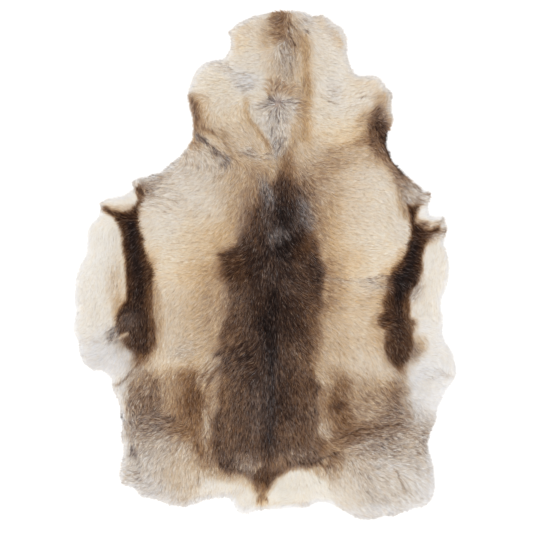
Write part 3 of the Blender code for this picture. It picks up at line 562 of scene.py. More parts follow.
    Blob("neck, right, upper ashen", "mist", 334, 27, 9, 9, 0, 0.9, 0.5),
    Blob("neck, right, ashen patch", "mist", 336, 92, 7, 10, 0, 0.9, 0.5),
    Blob("neck, right, warm upper", "straw", 322, 62, 10, 14, 0, 0.9, 0.4),
    Line("neck, right, pale rim", "cream", 0.3, 5, 5, [(318, 15), (334, 21), (343, 32), (347, 50)]),
    Blob("jowl wisps, left", "pearl", 222, 68, 12, 5, 25, 0.9, 0.5),
    Blob("nape corner, right ashen", "pearl", 310, 22, 8, 9, 0, 0.8, 0.8),
    Blob("neck foot wisps, left", "ash", 250, 154, 9, 5, 25, 0.8, 0.6),
    # -- saddle ------------------------------------------------------------
    Blob("saddle, crown brown", "hazel", 285, 173, 7, 15, 0, 0.9, 1),
    Blob("saddle, crown brown, left", "fawn", 272, 180, 8, 10, 10, 0.9, 0.5),
    Blob("saddle, left haze", "hazel", 248, 214, 9, 20, 8, 0.9, 0.3),
    Blob("saddle, right haze", "taupe", 310, 206, 9, 28, -12, 0.9, 0.7),
    Shape(
        "saddle",
        "sable",
        1.0,
        5,
        [(284, 173.5), (291, 175), (293.5, 183), (300, 189.5), (305.5, 198), (306, 208)]
        + [(308, 220), (311.5, 231), (316.5, 241), (317, 252), (322.5, 262), (326.5, 272)]
        + [(322.5, 284), (322, 293.5), (323, 304), (317.5, 316), (314.5, 330), (315, 345)]
        + [(311, 356), (309, 366), (314, 377), (321.5, 388), (316, 400), (318, 412)]
        + [(317.5, 424), (316, 434.5), (324, 442), (323.5, 450), (320, 457.5), (321, 463.5)]
        + [(308, 467), (293.5, 467.5), (283.5, 471.5), (275.5, 477), (269, 486), (263.5, 488.5)]
        + [(257, 490), (253, 483), (246, 477), (236, 473.5), (228.5, 473), (222, 471)]
        + [(217, 464), (215.5, 455.5), (210.5, 446), (214.5, 434), (212, 419.5), (220.5, 407.5)]
        + [(218.5, 396), (223.5, 382), (218.5, 370), (218, 358), (221.5, 348), (219, 337.5)]
        + [(223.5, 325), (229.5, 312), (231.5, 298), (228.5, 288), (227, 278), (224.5, 268)]
        + [(220, 259), (219, 253), (228, 251.5), (236.5, 246), (241, 235), (249, 222.5)]
        + [(251, 210.5), (258.5, 203.5), (259.5, 191.5), (270, 187.5), (277, 179.5), (280, 172)],
    ),
    Blob("saddle, top, lighter", "bark", 285, 190, 13, 10, 0, 0.9, 0.6),
    Blob("saddle, neck brown", "hazel", 290, 170, 7, 14, 0, 0.9, 0.6),
    Blob("saddle, spur", "cocoa", 240, 266, 15, 15, 0, 0.8, 0.9),
    Blob("saddle, spur, rust", "rust", 230, 260, 11, 5, 0, 0.8, 0.4),
    Blob("saddle, spur foot", "cocoa", 238, 274, 16, 10, 0, 0.8, 0.9),
    Line("saddle, spur edge", "soot", 0.4, 2, 2.4, [(220, 254), (230, 253), (241, 249)]),
    Line("saddle, spur rim", "fawn", 0.5, 2.0, 2.0, [(218, 249), (228, 247), (236, 244)]),
    Blob("saddle, left flank", "bark", 236, 306, 11, 36, 0, 0.9, 0.75),
    Blob("saddle, left, dark middle", "cocoa", 238, 270, 8, 14, 0, 0.9, 0.6),
    Blob("saddle, left flank, brown", "russet", 232, 336, 10, 12, 0, 0.9, 0.5),
    Blob("saddle, right flank", "umber", 308, 312, 12, 44, 0, 0.9, 0.8),
    Blob("saddle, right flank, brown", "hazel", 315, 330, 6, 26, 0, 0.9, 0.55),
    Blob("saddle, shoulder left", "bark", 253, 214, 7, 22, 8, 0.9, 0.4),
    Blob("saddle, shoulder dark", "soot", 256, 262, 10, 20, 0, 0.9, 0.6),
    Blob("saddle, shoulder right, brown", "cocoa", 306, 244, 10, 14, -20, 0.9, 0.8),
    Blob("saddle, right dark", "soot", 316, 272, 8, 14, -8, 0.9, 0.4),
    Blob("saddle, core upper", "soot", 285, 208, 8, 20, -4, 0.7, 0.95),
    Blob("saddle, core, ashen", "jet", 286, 228, 14, 22, 0, 0.9, 0.5),
    Blob("saddle, left side, ashen", "dusk", 244, 222, 6, 24, 6, 0.9, 0.4),
    Blob("saddle, core", "ink", 282, 248, 13, 12, 0, 0.8, 0.9),
    Blob("saddle, core right", "cocoa", 298, 252, 8, 8, 0, 0.9, 0.5),
    Blob("saddle, middle", "steel", 272, 278, 14, 18, 0, 0.9, 0.35),
    Blob("saddle, spine", "soot", 269, 318, 12, 38, 0, 0.8, 1.0),
    Blob("saddle, spine, black", "ink", 272, 304, 10, 12, 0, 0.9, 0.8),
    Blob("saddle, spine, brown side, left", "cocoa", 262, 305, 7, 14, 0, 0.9, 0.5),
    Blob("saddle, spine, brown side, right", "cocoa", 291, 322, 12, 20, 0, 0.9, 0.7),
    Blob("saddle, spine, black low", "ink", 268, 332, 8, 16, 0, 0.9, 0.8),
    Blob("saddle, spine side", "soot", 288, 322, 11, 28, 0, 0.9, 0.7),
    # painted sheen: the glint marks lighten and cool the dark saddle where light glints off the hair
    Blob("saddle, glint, first", "slate", 266, 192, 6, 14, -18, 0.8, 0.72),
    Blob("saddle, glint, first core", "smoke", 268, 190, 3, 8, -22, 0.9, 0.5),
    Blob("saddle, glint, side", "slate", 266, 218, 6, 14, 0, 0.9, 0.5),
    Blob("saddle, glint, second", "silver_sheen", 277, 234, 8, 7, -20, 0.8, 0.25),
    Blob("saddle, glint, third", "slate", 271, 240, 5, 7, 20, 0.9, 0.45),
    Blob("saddle, glint, right", "slate", 305, 212, 6, 17, -16, 0.9, 0.8),
    Blob("saddle, rear right", "bark", 294, 354, 14, 15, 0, 0.9, 0.85),
    Blob("saddle, rear right, brown", "hazel", 308, 366, 8, 13, 0, 0.9, 0.55),
    Blob("saddle, rear right, bark", "bark", 304, 392, 10, 26, 0, 0.9, 0.6),
    Blob("saddle, rear right, hazel", "taupe", 312, 420, 5, 24, 0, 0.9, 0.6),
    Blob("saddle, rear right, low", "bark", 292, 434, 14, 12, 0, 0.9, 0.8),
    Blob("saddle, rear left", "bark", 236, 386, 15, 22, 0, 0.9, 0.9),
    Blob("saddle, rear left, low", "bark", 228, 434, 13, 24, 0, 0.9, 0.95),
    Blob("saddle, rear left, brown", "bark", 240, 414, 10, 20, 0, 0.9, 0.5),
    Blob("saddle, rear left, edge", "hazel", 225, 397, 6, 24, 0, 0.9, 0.6),
    Blob("saddle, rear, low light", "hazel", 286, 438, 22, 14, 20, 0.9, 0.25),
    Blob("saddle, rear left, low light", "hazel", 220, 447, 11, 22, 30, 0.9, 0.3),
    Blob("rump, hind left, light", "smoke", 250, 465, 20, 9, 10, 0.9, 0.6),
    Blob("saddle, rear right, low light", "hazel", 311, 438, 8, 16, -30, 0.9, 0.3),
    Blob("saddle, rear, dark bar", "soot", 261, 382, 14, 10, 0, 0.9, 0.8),
    Blob("saddle, rear left, light", "bark", 252, 343, 14, 12, 0, 0.9, 0.35),
    Blob("saddle, crown side", "umber", 292, 192, 6, 16, 30, 0.9, 0.3),
    Blob("saddle, swirl dark", "soot", 284, 272, 22, 7, 36, 0.9, 0.5),
    Blob("saddle, grey side", "slate", 302, 223, 12, 7, 0, 0.9, 0.35),
    Blob("saddle, dark bar, left", "soot", 236, 352, 17, 8, 0, 0.9, 0.55),
    Line("saddle, spine, rear", "jet", 0.75, 9, 7, [(271, 350), (271, 380), (270, 420), (269, 455)]),
    Blob("saddle, rear, ashen", "dusk", 261, 404, 12, 34, 0, 0.9, 0.45),
    Blob("saddle, rear right, rust", "russet", 302, 388, 8, 20, 0, 0.9, 0.45),
    Line("saddle, spine, rear core", "steel", 0.2, 5, 5, [(266, 346), (268, 370), (264, 390)]),
    # painted sheen along the rear of the spine
    Line("saddle, spine glint, rear", "steel", 0.35, 5, 5, [(257, 380), (255, 400), (255, 432)]),
    Blob("rump, hind right", "taupe", 298, 456, 20, 8, 0, 0.9, 0.8),
    Blob("rump, hind middle", "fawn", 280, 464, 10, 7, -20, 0.9, 0.7),
    Blob("rump, hind left", "taupe", 250, 464, 15, 11, 0, 0.9, 0.7),
    Blob("rump, hind left, highlight", "smoke", 248, 470, 8, 4.5, 0, 0.9, 0.6),
    Blob("rump, hind, tail root", "fawn", 260, 470, 7, 6, 0, 0.9, 0.5),
    Blob("rump, hind left, foot", "umber", 226, 469, 8, 7, 0, 0.9, 0.1),
    Blob("rump, spine", "umber", 268, 458, 6, 14, 0, 0.9, 0.6),
    Shape(
        "tail wedge",
        "umber",
        0.95,
        2.4,
        [(254, 475), (262, 466), (278, 474), (271, 482), (266.5, 489), (262, 491.5)]
        + [(261.5, 492.5), (256, 488), (252.5, 482)],
    ),
    Blob("tail wedge, dark", "cocoa", 262, 482, 6, 7, 0, 0.9, 0.5),
    Line("tail, stem", "ochre", 0.75, 7, 4, [(262, 488), (262, 498), (263, 507)]),
    Line("tail, stem, dark", "russet", 0.6, 3, 3, [(262, 486), (262, 500)]),
    Blob("tail, foot, gilt", "straw", 264, 506, 12, 4, 0, 0.9, 0.7),
    Blob("rump, left of the tail, warm", "butter", 242, 489, 12, 9, 0, 0.9, 0.7),
    Blob("tail root, brown", "hazel", 258, 488, 5, 6, 0, 0.9, 0.5),
    Blob("throat, right gilt", "straw", 258, 96, 9, 7, 0, 0.9, 0.4),
    Blob("withers, right, saddle side", "tan", 311, 229, 5, 23, 0, 0.9, 0.25),
    Blob("haunch, left, hem, ashen", "ash", 152, 492, 11, 5, 0, 0.9, 0.6),
    Blob("band, right, waist", "ink", 404, 280, 12, 8, -30, 0.9, 1),
    Blob("loin, left, pale side", "sand", 208, 380, 6, 12, 0, 0.9, 0.6),
    Blob("throat, left, pale hairs", "frost", 237, 77, 11, 7, 20, 0.9, 0.35),
    Line("flank, right, rim light", "butter", 0.5, 6, 6, [(390, 251), (376, 273), (362, 295)]),
    Line("band, right, inner warm edge", "rust", 0.3, 4, 4, [(402, 250), (391, 280), (382, 312)]),
    Blob("rib, right, gilt", "honey", 354, 295, 9, 26, 0, 0.9, 0.35),
    Blob("haunch, left, brow shade", "hazel", 185, 376, 14, 9, 0, 0.9, 0.3),
    Blob("withers, right, ashen side", "ash", 321, 184, 8, 17, -20, 0.9, 0.2),
    Blob("throat, left, ashen side", "mist", 237, 74, 9, 6, 30, 0.9, 0.35),
    Blob("neck, left, warm light", "cream", 220, 102, 13, 10, 0, 0.9, 0.35),
    Blob("rump, middle light", "taupe", 251, 436, 7, 15, 0, 0.9, 0.3),
    Line("shoulder, right, rim haze", "fawn", 0.15, 10, 6, [(359, 121), (368, 141), (379, 161), (391, 181)]),
    Blob("nape foot, right shade", "tan", 271, 171, 7, 13, 0, 0.9, 0.3),
    Line("saddle, shoulder left, haze", "fawn", 0.16, 6, 6, [(240, 213), (249, 231), (257, 247)]),
    Blob("rib, right, fold light", "cream", 364, 287, 22, 8, 0, 0.9, 0.3),
    Blob("withers, right, side shade", "taupe", 325, 247, 6, 23, 0, 0.9, 0.2),
    Blob("neck, right, rim pale", "pearl", 386, 115, 5, 8, 0, 0.9, 0.4),
    Blob("loin, left, pale spot", "cream", 205, 372, 6, 6, 0, 0.9, 0.4),
    Line("rump, left, hem shade", "fawn", 0.3, 6, 5, [(214, 470), (230, 478), (244, 484)]),
    Blob("neck, right, low gilt", "honey", 345, 137, 16, 9, 0, 0.9, 0.4),
    Blob("neck foot, left, lower light", "cream", 220, 173, 9, 8, 0, 0.9, 0.3),
    Blob("haunch, middle right shade", "umber", 299, 388, 6, 12, 0, 0.9, 0.6),
    Blob("saddle, left, gilt", "fawn", 227, 346, 8, 10, 0, 0.9, 0.35),
    Blob("haunch, right, foot gilt", "tan", 319, 447, 8, 9, 0, 0.9, 0.35),
    Blob("haunch, right, hip shade", "hazel", 338, 454, 6, 8, 0, 0.9, 0.5),
    Blob("foreleg, right, rim shade", "taupe", 404, 181, 6, 9, -45, 0.9, 0.4),
    Blob("flank, right, gilt middle", "ochre", 356, 300, 12, 10, 0, 0.9, 0.3),
    Blob("neck, right, rim gilt", "sand", 368, 85, 10, 6, 15, 0.9, 0.5),
    Blob("withers, right, shade", "fawn", 318, 181, 10, 7, -40, 0.9, 0.5),
    Blob("nape crease, foot", "ochre", 294, 130, 6, 10, 0, 0.9, 0.4),
    Blob("withers, left, upper light", "sand", 224, 184, 6, 18, 15, 0.9, 0.35),
    Blob("band, left, heel pale", "frost", 124, 361, 10, 7, 0, 0.9, 0.5),
    Blob("band, left, edge brown", "russet", 148, 267, 5, 10, 0, 0.9, 0.4),
    Blob("band, right, edge brown", "hazel", 406, 308, 3.5, 10, 0, 0.9, 0.4),
    Blob("flank, right, low light", "cream", 358, 318, 13, 26, 0, 0.9, 0.3),
    Blob("haunch, left, hem cream", "cream", 212, 496, 18, 6, 0, 0.9, 0.65),
    Line("hind edge, right", "ink", 0.9, 1.4, 1.6, [(311, 464), (318, 461), (326, 458), (333, 457), (338, 452)]),
    Blob("band, right, lobe tip", "bark", 412, 325, 5, 5, 0, 0.9, 0.5),
    Line("haunch, left, rim thin", "white", 0.75, 3, 2.5, [(118, 392), (121, 402), (122, 412), (123, 422), (124, 434), (124.5, 445), (123.5, 457), (121.5, 468), (120, 478)]),
    Blob("nape foot, left light", "tan", 265, 176, 7, 7, 0, 0.9, 0.45),
    Blob("flank, left, gilt wash", "honey", 186, 276, 15, 10, 0, 0.9, 0.25),
    Line("haunch, middle, warm side", "russet", 0.3, 6, 5, [(314, 372), (312, 391), (311, 412)]),
    Blob("flank, right, foot shade", "ochre", 375, 343, 8, 18, 15, 0.9, 0.35),
    Blob("loin, left, corner light", "sand", 152, 370, 11, 6, 20, 0.9, 0.4),
    Blob("haunch, left, hem, cool", "mist", 160, 495, 18, 6, 10, 0.9, 0.35),
    Line("band, right, inner warm rim", "russet", 0.3, 3, 3, [(400, 262), (394, 272), (391, 284), (389, 296)]),
    Line("neck, left, rim dark, core", "umber", 0.6, 3, 2, [(195, 104), (196.5, 112), (198, 120)]),
    Line("hem, left, shade", "pearl", 0.45, 5, 4, [(196, 499), (212, 497), (230, 495), (242, 492)]),
    Blob("belly, left, outer dull", "cream", 88, 309, 12, 24, 0, 0.9, 0.35),
    Blob("neck, left, upper shade", "sand", 249, 27, 17, 6, 26, 0.9, 0.3),
    Blob("belly, right, dull", "cream", 423, 311, 9, 24, 20, 0.9, 0.4),
    Blob("rump, right, inner shade", "bark", 305, 448, 14, 8, 0, 0.9, 0.3),
    Blob("haunch, left, outer shade", "taupe", 146, 400, 8, 28, 0, 0.9, 0.2),
    Blob("nape, right gilt", "ochre", 295, 74, 11, 12, 0, 0.9, 0.25),
    Line("band, right, waist warm side", "rust", 0.1, 4, 5, [(396, 264), (388, 282), (384, 300)]),
    Blob("hip, right, pale edge shade", "hazel", 337, 457, 7, 20, 0, 0.9, 0.3),
    Blob("haunch, right, gilt side", "ochre", 386, 390, 8, 14, 0, 0.9, 0.25),
    Blob("neck, left, low light", "cream", 221, 102, 11, 10, 0, 0.9, 0.35),
    Blob("band, left, lower warm", "rust", 118, 310, 5, 12, 0, 0.9, 0.3),
    # painted shade in the crease at the heel of the belly
    Line("belly, left, heel crease", "bark", 0.75, 1.4, 1.4, [(137, 366), (131, 373), (127, 379), (122, 383), (116, 386)]),
    Blob("band, right, upper inner light", "cream", 393, 256, 8, 8, 0, 0.9, 0.3),
    Line("band, right, waist edge", "soot", 0.6, 4, 4, [(410, 272), (408, 281), (406, 290)]),
    Line("shoulder, right, rim shade", "taupe", 0.55, 6, 5, [(383, 151), (390, 162), (398, 174)]),
    Blob("neck, right, dark foot, inner", "umber", 373, 136, 6, 9, 0, 0.9, 0.4),
    # painted sheen: a pale glint at the left of the first one
    Line("saddle, glint, first, left", "smoke", 0.3, 5, 5, [(262, 175), (263, 190), (265, 205)]),
    Blob("band, left, foot light", "tan", 126, 338, 5, 5, 0, 0.9, 0.3),
    Line("shoulder, right, dark rim", "soot", 0.8, 3, 2.5, [(381, 138), (385, 145), (390, 154), (396, 163), (403, 173)]),
    # -- partings and wisps -------------------------------------------------
    Line("rib fold, right", "ash", 0.5, 2, 3, [(326, 279), (346, 281), (362, 280), (380, 278), (390, 277)]),
    Blob("rib wisps, right", "ash", 376, 286, 12, 5, 6, 0.9, 0.35),
    Blob("flank wisps, left", "smoke", 216, 366, 7, 14, 30, 0.9, 0.4),
    Blob("flank parting, left low", "ash", 182, 352, 10, 8, 0, 0.9, 0.4),
]

# Scattered flecks: strokes of one tone over an ellipse, each lying as the hair does.
Flecks = namedtuple("Flecks", "name tone count x y rx ry turn length width amount")

FLECKS = [
    # neck
    Flecks("nape column, grey", "smoke", 40, 286, 60, 11, 18, 0, 10, 0.9, 0.6),
    Flecks("nape column, light", "cream", 30, 286, 62, 12, 20, 0, 11, 0.9, 0.6),
    Flecks("nape patch, dark", "bark", 26, 280, 27, 11, 14, 0, 9, 0.9, 0.65),
    Flecks("crown, dark", "hazel", 30, 275, 88, 11, 9, 0, 6, 0.8, 0.7),
    Flecks("crown, right", "hazel", 12, 291, 89, 7, 8, 0, 6, 1.0, 0.4),
    Flecks("neck fold, dark", "slate", 30, 201, 138, 7, 3, 44, 9, 0.9, 0.8),
    Flecks("neck fold, dark edge", "dusk", 12, 199, 136, 5, 2, 44, 8, 1.0, 0.6),
    Flecks("neck fold, lower", "slate", 34, 224, 158, 6, 7, 30, 9, 1, 0.7),
    Flecks("neck fold, middle", "slate", 24, 212, 149, 8, 4, 40, 9, 0.9, 0.65),
    Flecks("throat, left, dark hairs", "slate", 9, 236, 74, 9, 5, 30, 9, 0.8, 0.3),
    Flecks("neck fold, pale", "mist", 12, 222, 158, 7, 7, 30, 9, 1.0, 0.5),
    Flecks("throat, dark hairs", "slate", 14, 249, 84, 11, 9, 0, 8, 0.8, 0.45),
    Flecks("crown, dark hairs", "bark", 22, 277, 88, 9, 6, 0, 7, 1.0, 0.65),
    Flecks("loin, dark hairs", "umber", 20, 213, 366, 6, 8, 0, 12, 1.1, 0.7),
    Flecks("hip, dark hairs", "umber", 14, 320, 463, 8, 4, 0, 7, 1.0, 0.6),
    Flecks("whorl, dark", "slate", 56, 279, 111, 18, 15, 0, 7, 0.8, 0.35),
    Flecks("whorl, light", "milk", 44, 279, 122, 18, 22, 0, 10, 1, 0.75),
    Flecks("whorl foot, dark", "smoke", 24, 277, 146, 9, 12, 0, 9, 1.0, 0.6),
    Flecks("neck, left grey", "ash", 18, 247, 83, 11, 9, 0, 8, 1.1, 0.3),
    Flecks("jowl, left grey", "ash", 10, 222, 66, 11, 6, 25, 7, 1.0, 0.4),
    Flecks("neck, right grey", "ash", 14, 332, 94, 10, 9, 0, 9, 1.1, 0.55),
    Flecks("nape corner, grey", "ash", 12, 310, 21, 8, 7, 0, 7, 1.1, 0.7),
    Flecks("neck foot, left dark", "taupe", 40, 234, 148, 30, 14, 14, 9, 1.0, 0.35),
    Flecks("neck foot, left light", "cream", 40, 236, 142, 32, 18, 14, 9, 1.2, 0.45),
    Flecks("shoulder corner, left", "smoke", 34, 204, 160, 28, 10, 25, 9, 1.1, 0.4),
    # shoulders and flanks
    Flecks("shoulder, left grey", "smoke", 34, 154, 192, 14, 11, 0, 8, 1.0, 0.35),
    Flecks("shoulder, left light", "milk", 30, 162, 200, 20, 14, 0, 10, 1.2, 0.5),
    Flecks("shoulder, left specks", "smoke", 40, 188, 212, 30, 26, 0, 6, 0.8, 0.5),
    Flecks("flank, left specks", "smoke", 60, 196, 300, 24, 50, 0, 6, 0.8, 0.5),
    Flecks("rib, left, brown hairs", "hazel", 60, 214, 282, 12, 44, 0, 8, 1.0, 0.3),
    Flecks("withers, brown hairs", "hazel", 70, 236, 186, 20, 34, 0, 8, 1.0, 0.3),
    Flecks("withers, right, brown hairs", "hazel", 70, 318, 196, 20, 30, 0, 8, 1.0, 0.35),
    Flecks("rib, right, brown hairs", "hazel", 50, 334, 280, 12, 40, 0, 8, 1.0, 0.3),
    Flecks("flank, right specks", "smoke", 60, 352, 320, 26, 44, 0, 6, 0.8, 0.42),
    Flecks("rib fold, dark hairs", "slate", 34, 378, 282, 13, 7, 0, 7, 0.8, 0.6),
    Flecks("flank blond", "cream", 30, 212, 368, 8, 17, 25, 12, 1.3, 0.75),
    Flecks("flank dark", "umber", 26, 213, 370, 8, 16, 25, 11, 1.0, 0.7),
    # haunches
    Flecks("haunch, left, dark hairs", "umber", 90, 144, 394, 17, 18, 0, 7, 0.8, 0.7),
    Flecks("haunch, left, light hairs", "sand", 70, 142, 392, 18, 18, 0, 7, 0.9, 0.6),
    # painted shade: dark strokes in a fold of the hide
    Flecks("haunch, left, fold dark", "bark", 40, 164, 418, 18, 6, 4, 8, 0.9, 0.5),
    Flecks("haunch, left, wisps dark", "bark", 140, 148, 428, 28, 14, 0, 9, 0.6, 0.72),
    Flecks("haunch, left, wisps ashen", "slate", 60, 140, 428, 22, 12, 0, 9, 0.6, 0.62),
    Flecks("haunch, left, wisps light", "cream", 130, 146, 432, 28, 16, 0, 9, 0.7, 0.6),
    Flecks("haunch, left, slate hairs", "steel", 22, 134, 451, 4, 8, 0, 6, 1.0, 0.65),
    Flecks("haunch, left, rear grey", "smoke", 90, 144, 470, 22, 22, 0, 8, 0.8, 0.5),
    Flecks("haunch, left, rear pale", "milk", 80, 146, 468, 24, 24, 0, 8, 0.9, 0.35),
    Flecks("haunch, left, brown hairs", "umber", 80, 186, 404, 15, 30, 0, 8, 0.7, 0.22),
    Flecks("haunch, left, tan hairs", "tan", 60, 184, 402, 15, 30, 0, 8, 0.8, 0.22),
    Flecks("haunch, left, rear brown hairs", "fawn", 60, 184, 464, 18, 24, 0, 8, 0.9, 0.35),
    Flecks("haunch, right, dark hairs", "bark", 120, 368, 404, 32, 20, 0, 7, 0.8, 0.5),
    Flecks("haunch, right, light hairs", "sand", 100, 366, 404, 32, 20, 0, 7, 1, 0.3),
    # painted shade: dark strokes in a fold of the hide
    Flecks("haunch, right, fold dark", "umber", 80, 366, 430, 34, 8, -6, 9, 0.8, 0.65),
    Flecks("haunch, right, side dark", "bark", 70, 398, 412, 12, 26, 0, 7, 0.8, 0.65),
    Flecks("haunch, right, side pale", "pearl", 90, 410, 432, 24, 20, 0, 8, 1, 0.3),
    Flecks("haunch, right, side grey", "smoke", 90, 404, 442, 28, 16, 0, 8, 0.8, 0.6),
    Flecks("haunch, right, rear grey", "smoke", 130, 388, 470, 40, 26, 0, 8, 0.8, 0.45),
    Flecks("haunch, right, rear pale", "milk", 110, 388, 474, 42, 28, 0, 8, 1.1, 0.22),
    # painted sheen: cool pale glints on the grey hair of the haunch
    Flecks("haunch, right, blue glints", "frost", 16, 380, 466, 12, 8, 0, 9, 1.2, 0.7),
    # saddle
    Flecks("saddle, left, brown hairs", "hazel", 130, 238, 300, 15, 46, 0, 9, 0.8, 0.32),
    Flecks("saddle, right, brown hairs", "hazel", 150, 302, 300, 16, 60, 0, 9, 0.8, 0.28),
    Flecks("saddle, rear, brown hairs", "hazel", 200, 266, 410, 46, 50, 0, 8, 0.9, 0.3),
    Flecks("saddle, shoulder, brown hairs", "russet", 60, 254, 216, 9, 26, 0, 9, 0.9, 0.5),
    Flecks("saddle, dark hairs", "ink", 160, 270, 300, 44, 90, 0, 9, 0.8, 0.3),
    Flecks("saddle, rear, dark hairs", "ink", 120, 266, 410, 46, 50, 0, 8, 1.0, 0.3),
    # painted sheen: pale cool strokes where light glints off the dark saddle hair
    Flecks("glint, first", "silver_sheen", 34, 268, 190, 6, 15, -22, 13, 0.7, 0.55),
    Flecks("glint, second", "silver_sheen", 50, 279, 233, 10, 8, 0, 10, 0.6, 0.6),
    Flecks("glint, third", "smoke", 12, 271, 240, 4, 6, 0, 9, 0.9, 0.35),
    Flecks("glint, right", "silver_sheen", 34, 302, 210, 8, 19, -16, 11, 0.7, 0.5),
    # painted sheen: pale strokes along the spine of the dark saddle
    Flecks("spine, silver", "smoke", 34, 274, 272, 14, 20, 0, 14, 0.9, 0.4),
    Flecks("spine, swirl", "smoke", 16, 286, 284, 14, 5, 0, 12, 0.9, 0.35),
    Flecks("spine, silver rear", "ash", 34, 256, 408, 5, 32, 0, 12, 0.9, 0.35),
    Flecks("spine, silver middle", "smoke", 26, 272, 372, 14, 14, 0, 12, 0.9, 0.4),
    Flecks("saddle, bars dark", "ink", 26, 236, 350, 16, 10, 0, 12, 1.3, 0.6),
    Flecks("saddle, bars light", "fawn", 26, 236, 350, 17, 11, 0, 11, 0.9, 0.6),
    Flecks("rump, left, pale hairs", "beige", 44, 250, 462, 15, 9, 0, 7, 0.9, 0.35),
    Flecks("rump, left, dark hairs", "soot", 24, 227, 464, 9, 7, 0, 6, 1.0, 0.5),
    Flecks("rump, right, pale hairs", "beige", 60, 298, 457, 20, 9, 0, 7, 0.9, 0.45),
    Flecks("rump, right, dark hairs", "soot", 36, 300, 460, 20, 6, 0, 7, 0.9, 0.5),
    Flecks("rump, left, edge hairs", "bark", 18, 228, 470, 14, 3, 0, 6, 0.9, 0.45),
    Flecks("hip, dark hairs, outer", "umber", 18, 326, 462, 6, 8, 0, 9, 0.9, 0.5),
    # belly
    Flecks("belly, left specks", "smoke", 24, 114, 282, 6, 14, 0, 6, 0.8, 0.4),
    Flecks("belly, left grey wisps", "slate", 26, 117, 330, 6, 6, 0, 11, 1.1, 0.65),
    Flecks("belly, right specks", "smoke", 30, 417, 284, 6, 15, 16, 5, 0.7, 0.45),
    # painted shade: grey strokes in the belly's fold
    Flecks("belly, right fold", "ash", 16, 432, 374, 14, 6, 0, 11, 0.9, 0.45),
]

# Tufts: hair that stands out past the outline, pointing along its heading.
Tuft = namedtuple("Tuft", "name x y heading fan count length spread shade")

TUFTS = [
    Tuft("neck, left corner", 231, 33, 205, 20, 60, 5.0, 1.6, 0.05),
    Tuft("neck, left dark edge", 192, 108, 160, 25, 160, 3.4, 6.0, 0.05),
    Tuft("neck fold, left", 196, 132, 150, 25, 70, 3.6, 3.0, 0.05),
    Tuft("neck corner, left", 186, 152, 225, 25, 120, 4.0, 4.0, 0.05),
    Tuft("shoulder, left, upper", 170, 165, 228, 25, 180, 4.2, 6.0, 0.1),
    Tuft("shoulder, left, lower", 152, 175, 235, 25, 160, 4.0, 6.0, 0.1),
    Tuft("foreleg, left, tuft", 136, 184, 225, 25, 110, 5.0, 2.4, 0.1),
    Tuft("foreleg, left, tip", 103, 205, 215, 25, 70, 4.5, 1.8, 0.05),
    Tuft("neck, right fringe", 389, 96, 350, 25, 260, 4.6, 6.0, 0.1),
    Tuft("neck, right dark fringe", 389, 120, 5, 25, 200, 4.0, 6.0, 0.05),
    Tuft("neck, right dark foot", 386, 138, 30, 25, 90, 3.2, 4.0, 0.05),
    Tuft("foreleg, right, tip", 427, 196, 330, 25, 150, 6.0, 2.6, 0.1),
    Tuft("notch, right, upper tip", 442, 222, 280, 14, 60, 6.0, 1.2, 0.2),
    Tuft("notch, right, lower tip", 443, 229, 40, 35, 110, 5.0, 1.8, 0.12),
    Tuft("haunch, left, rim", 124, 417, 182, 16, 150, 5.0, 7.0, 0.34),
    Tuft("haunch, left, rim, low", 124, 452, 182, 20, 90, 3.4, 9.0, 0.12),
    Tuft("haunch, right, rim", 429, 440, 2, 25, 120, 3.4, 8.0, 0.05),
    Tuft("haunch, right, rim, low", 433, 478, 10, 25, 120, 3.6, 8.0, 0.05),
    Tuft("tail", 261, 506, 95, 35, 150, 4.5, 3.4, 0.12),
]

# Single wisps: one stroke each, bowed to one side by that share of its length.
Wisp = namedtuple("Wisp", "tone amount width x0 y0 x1 y1 bow")

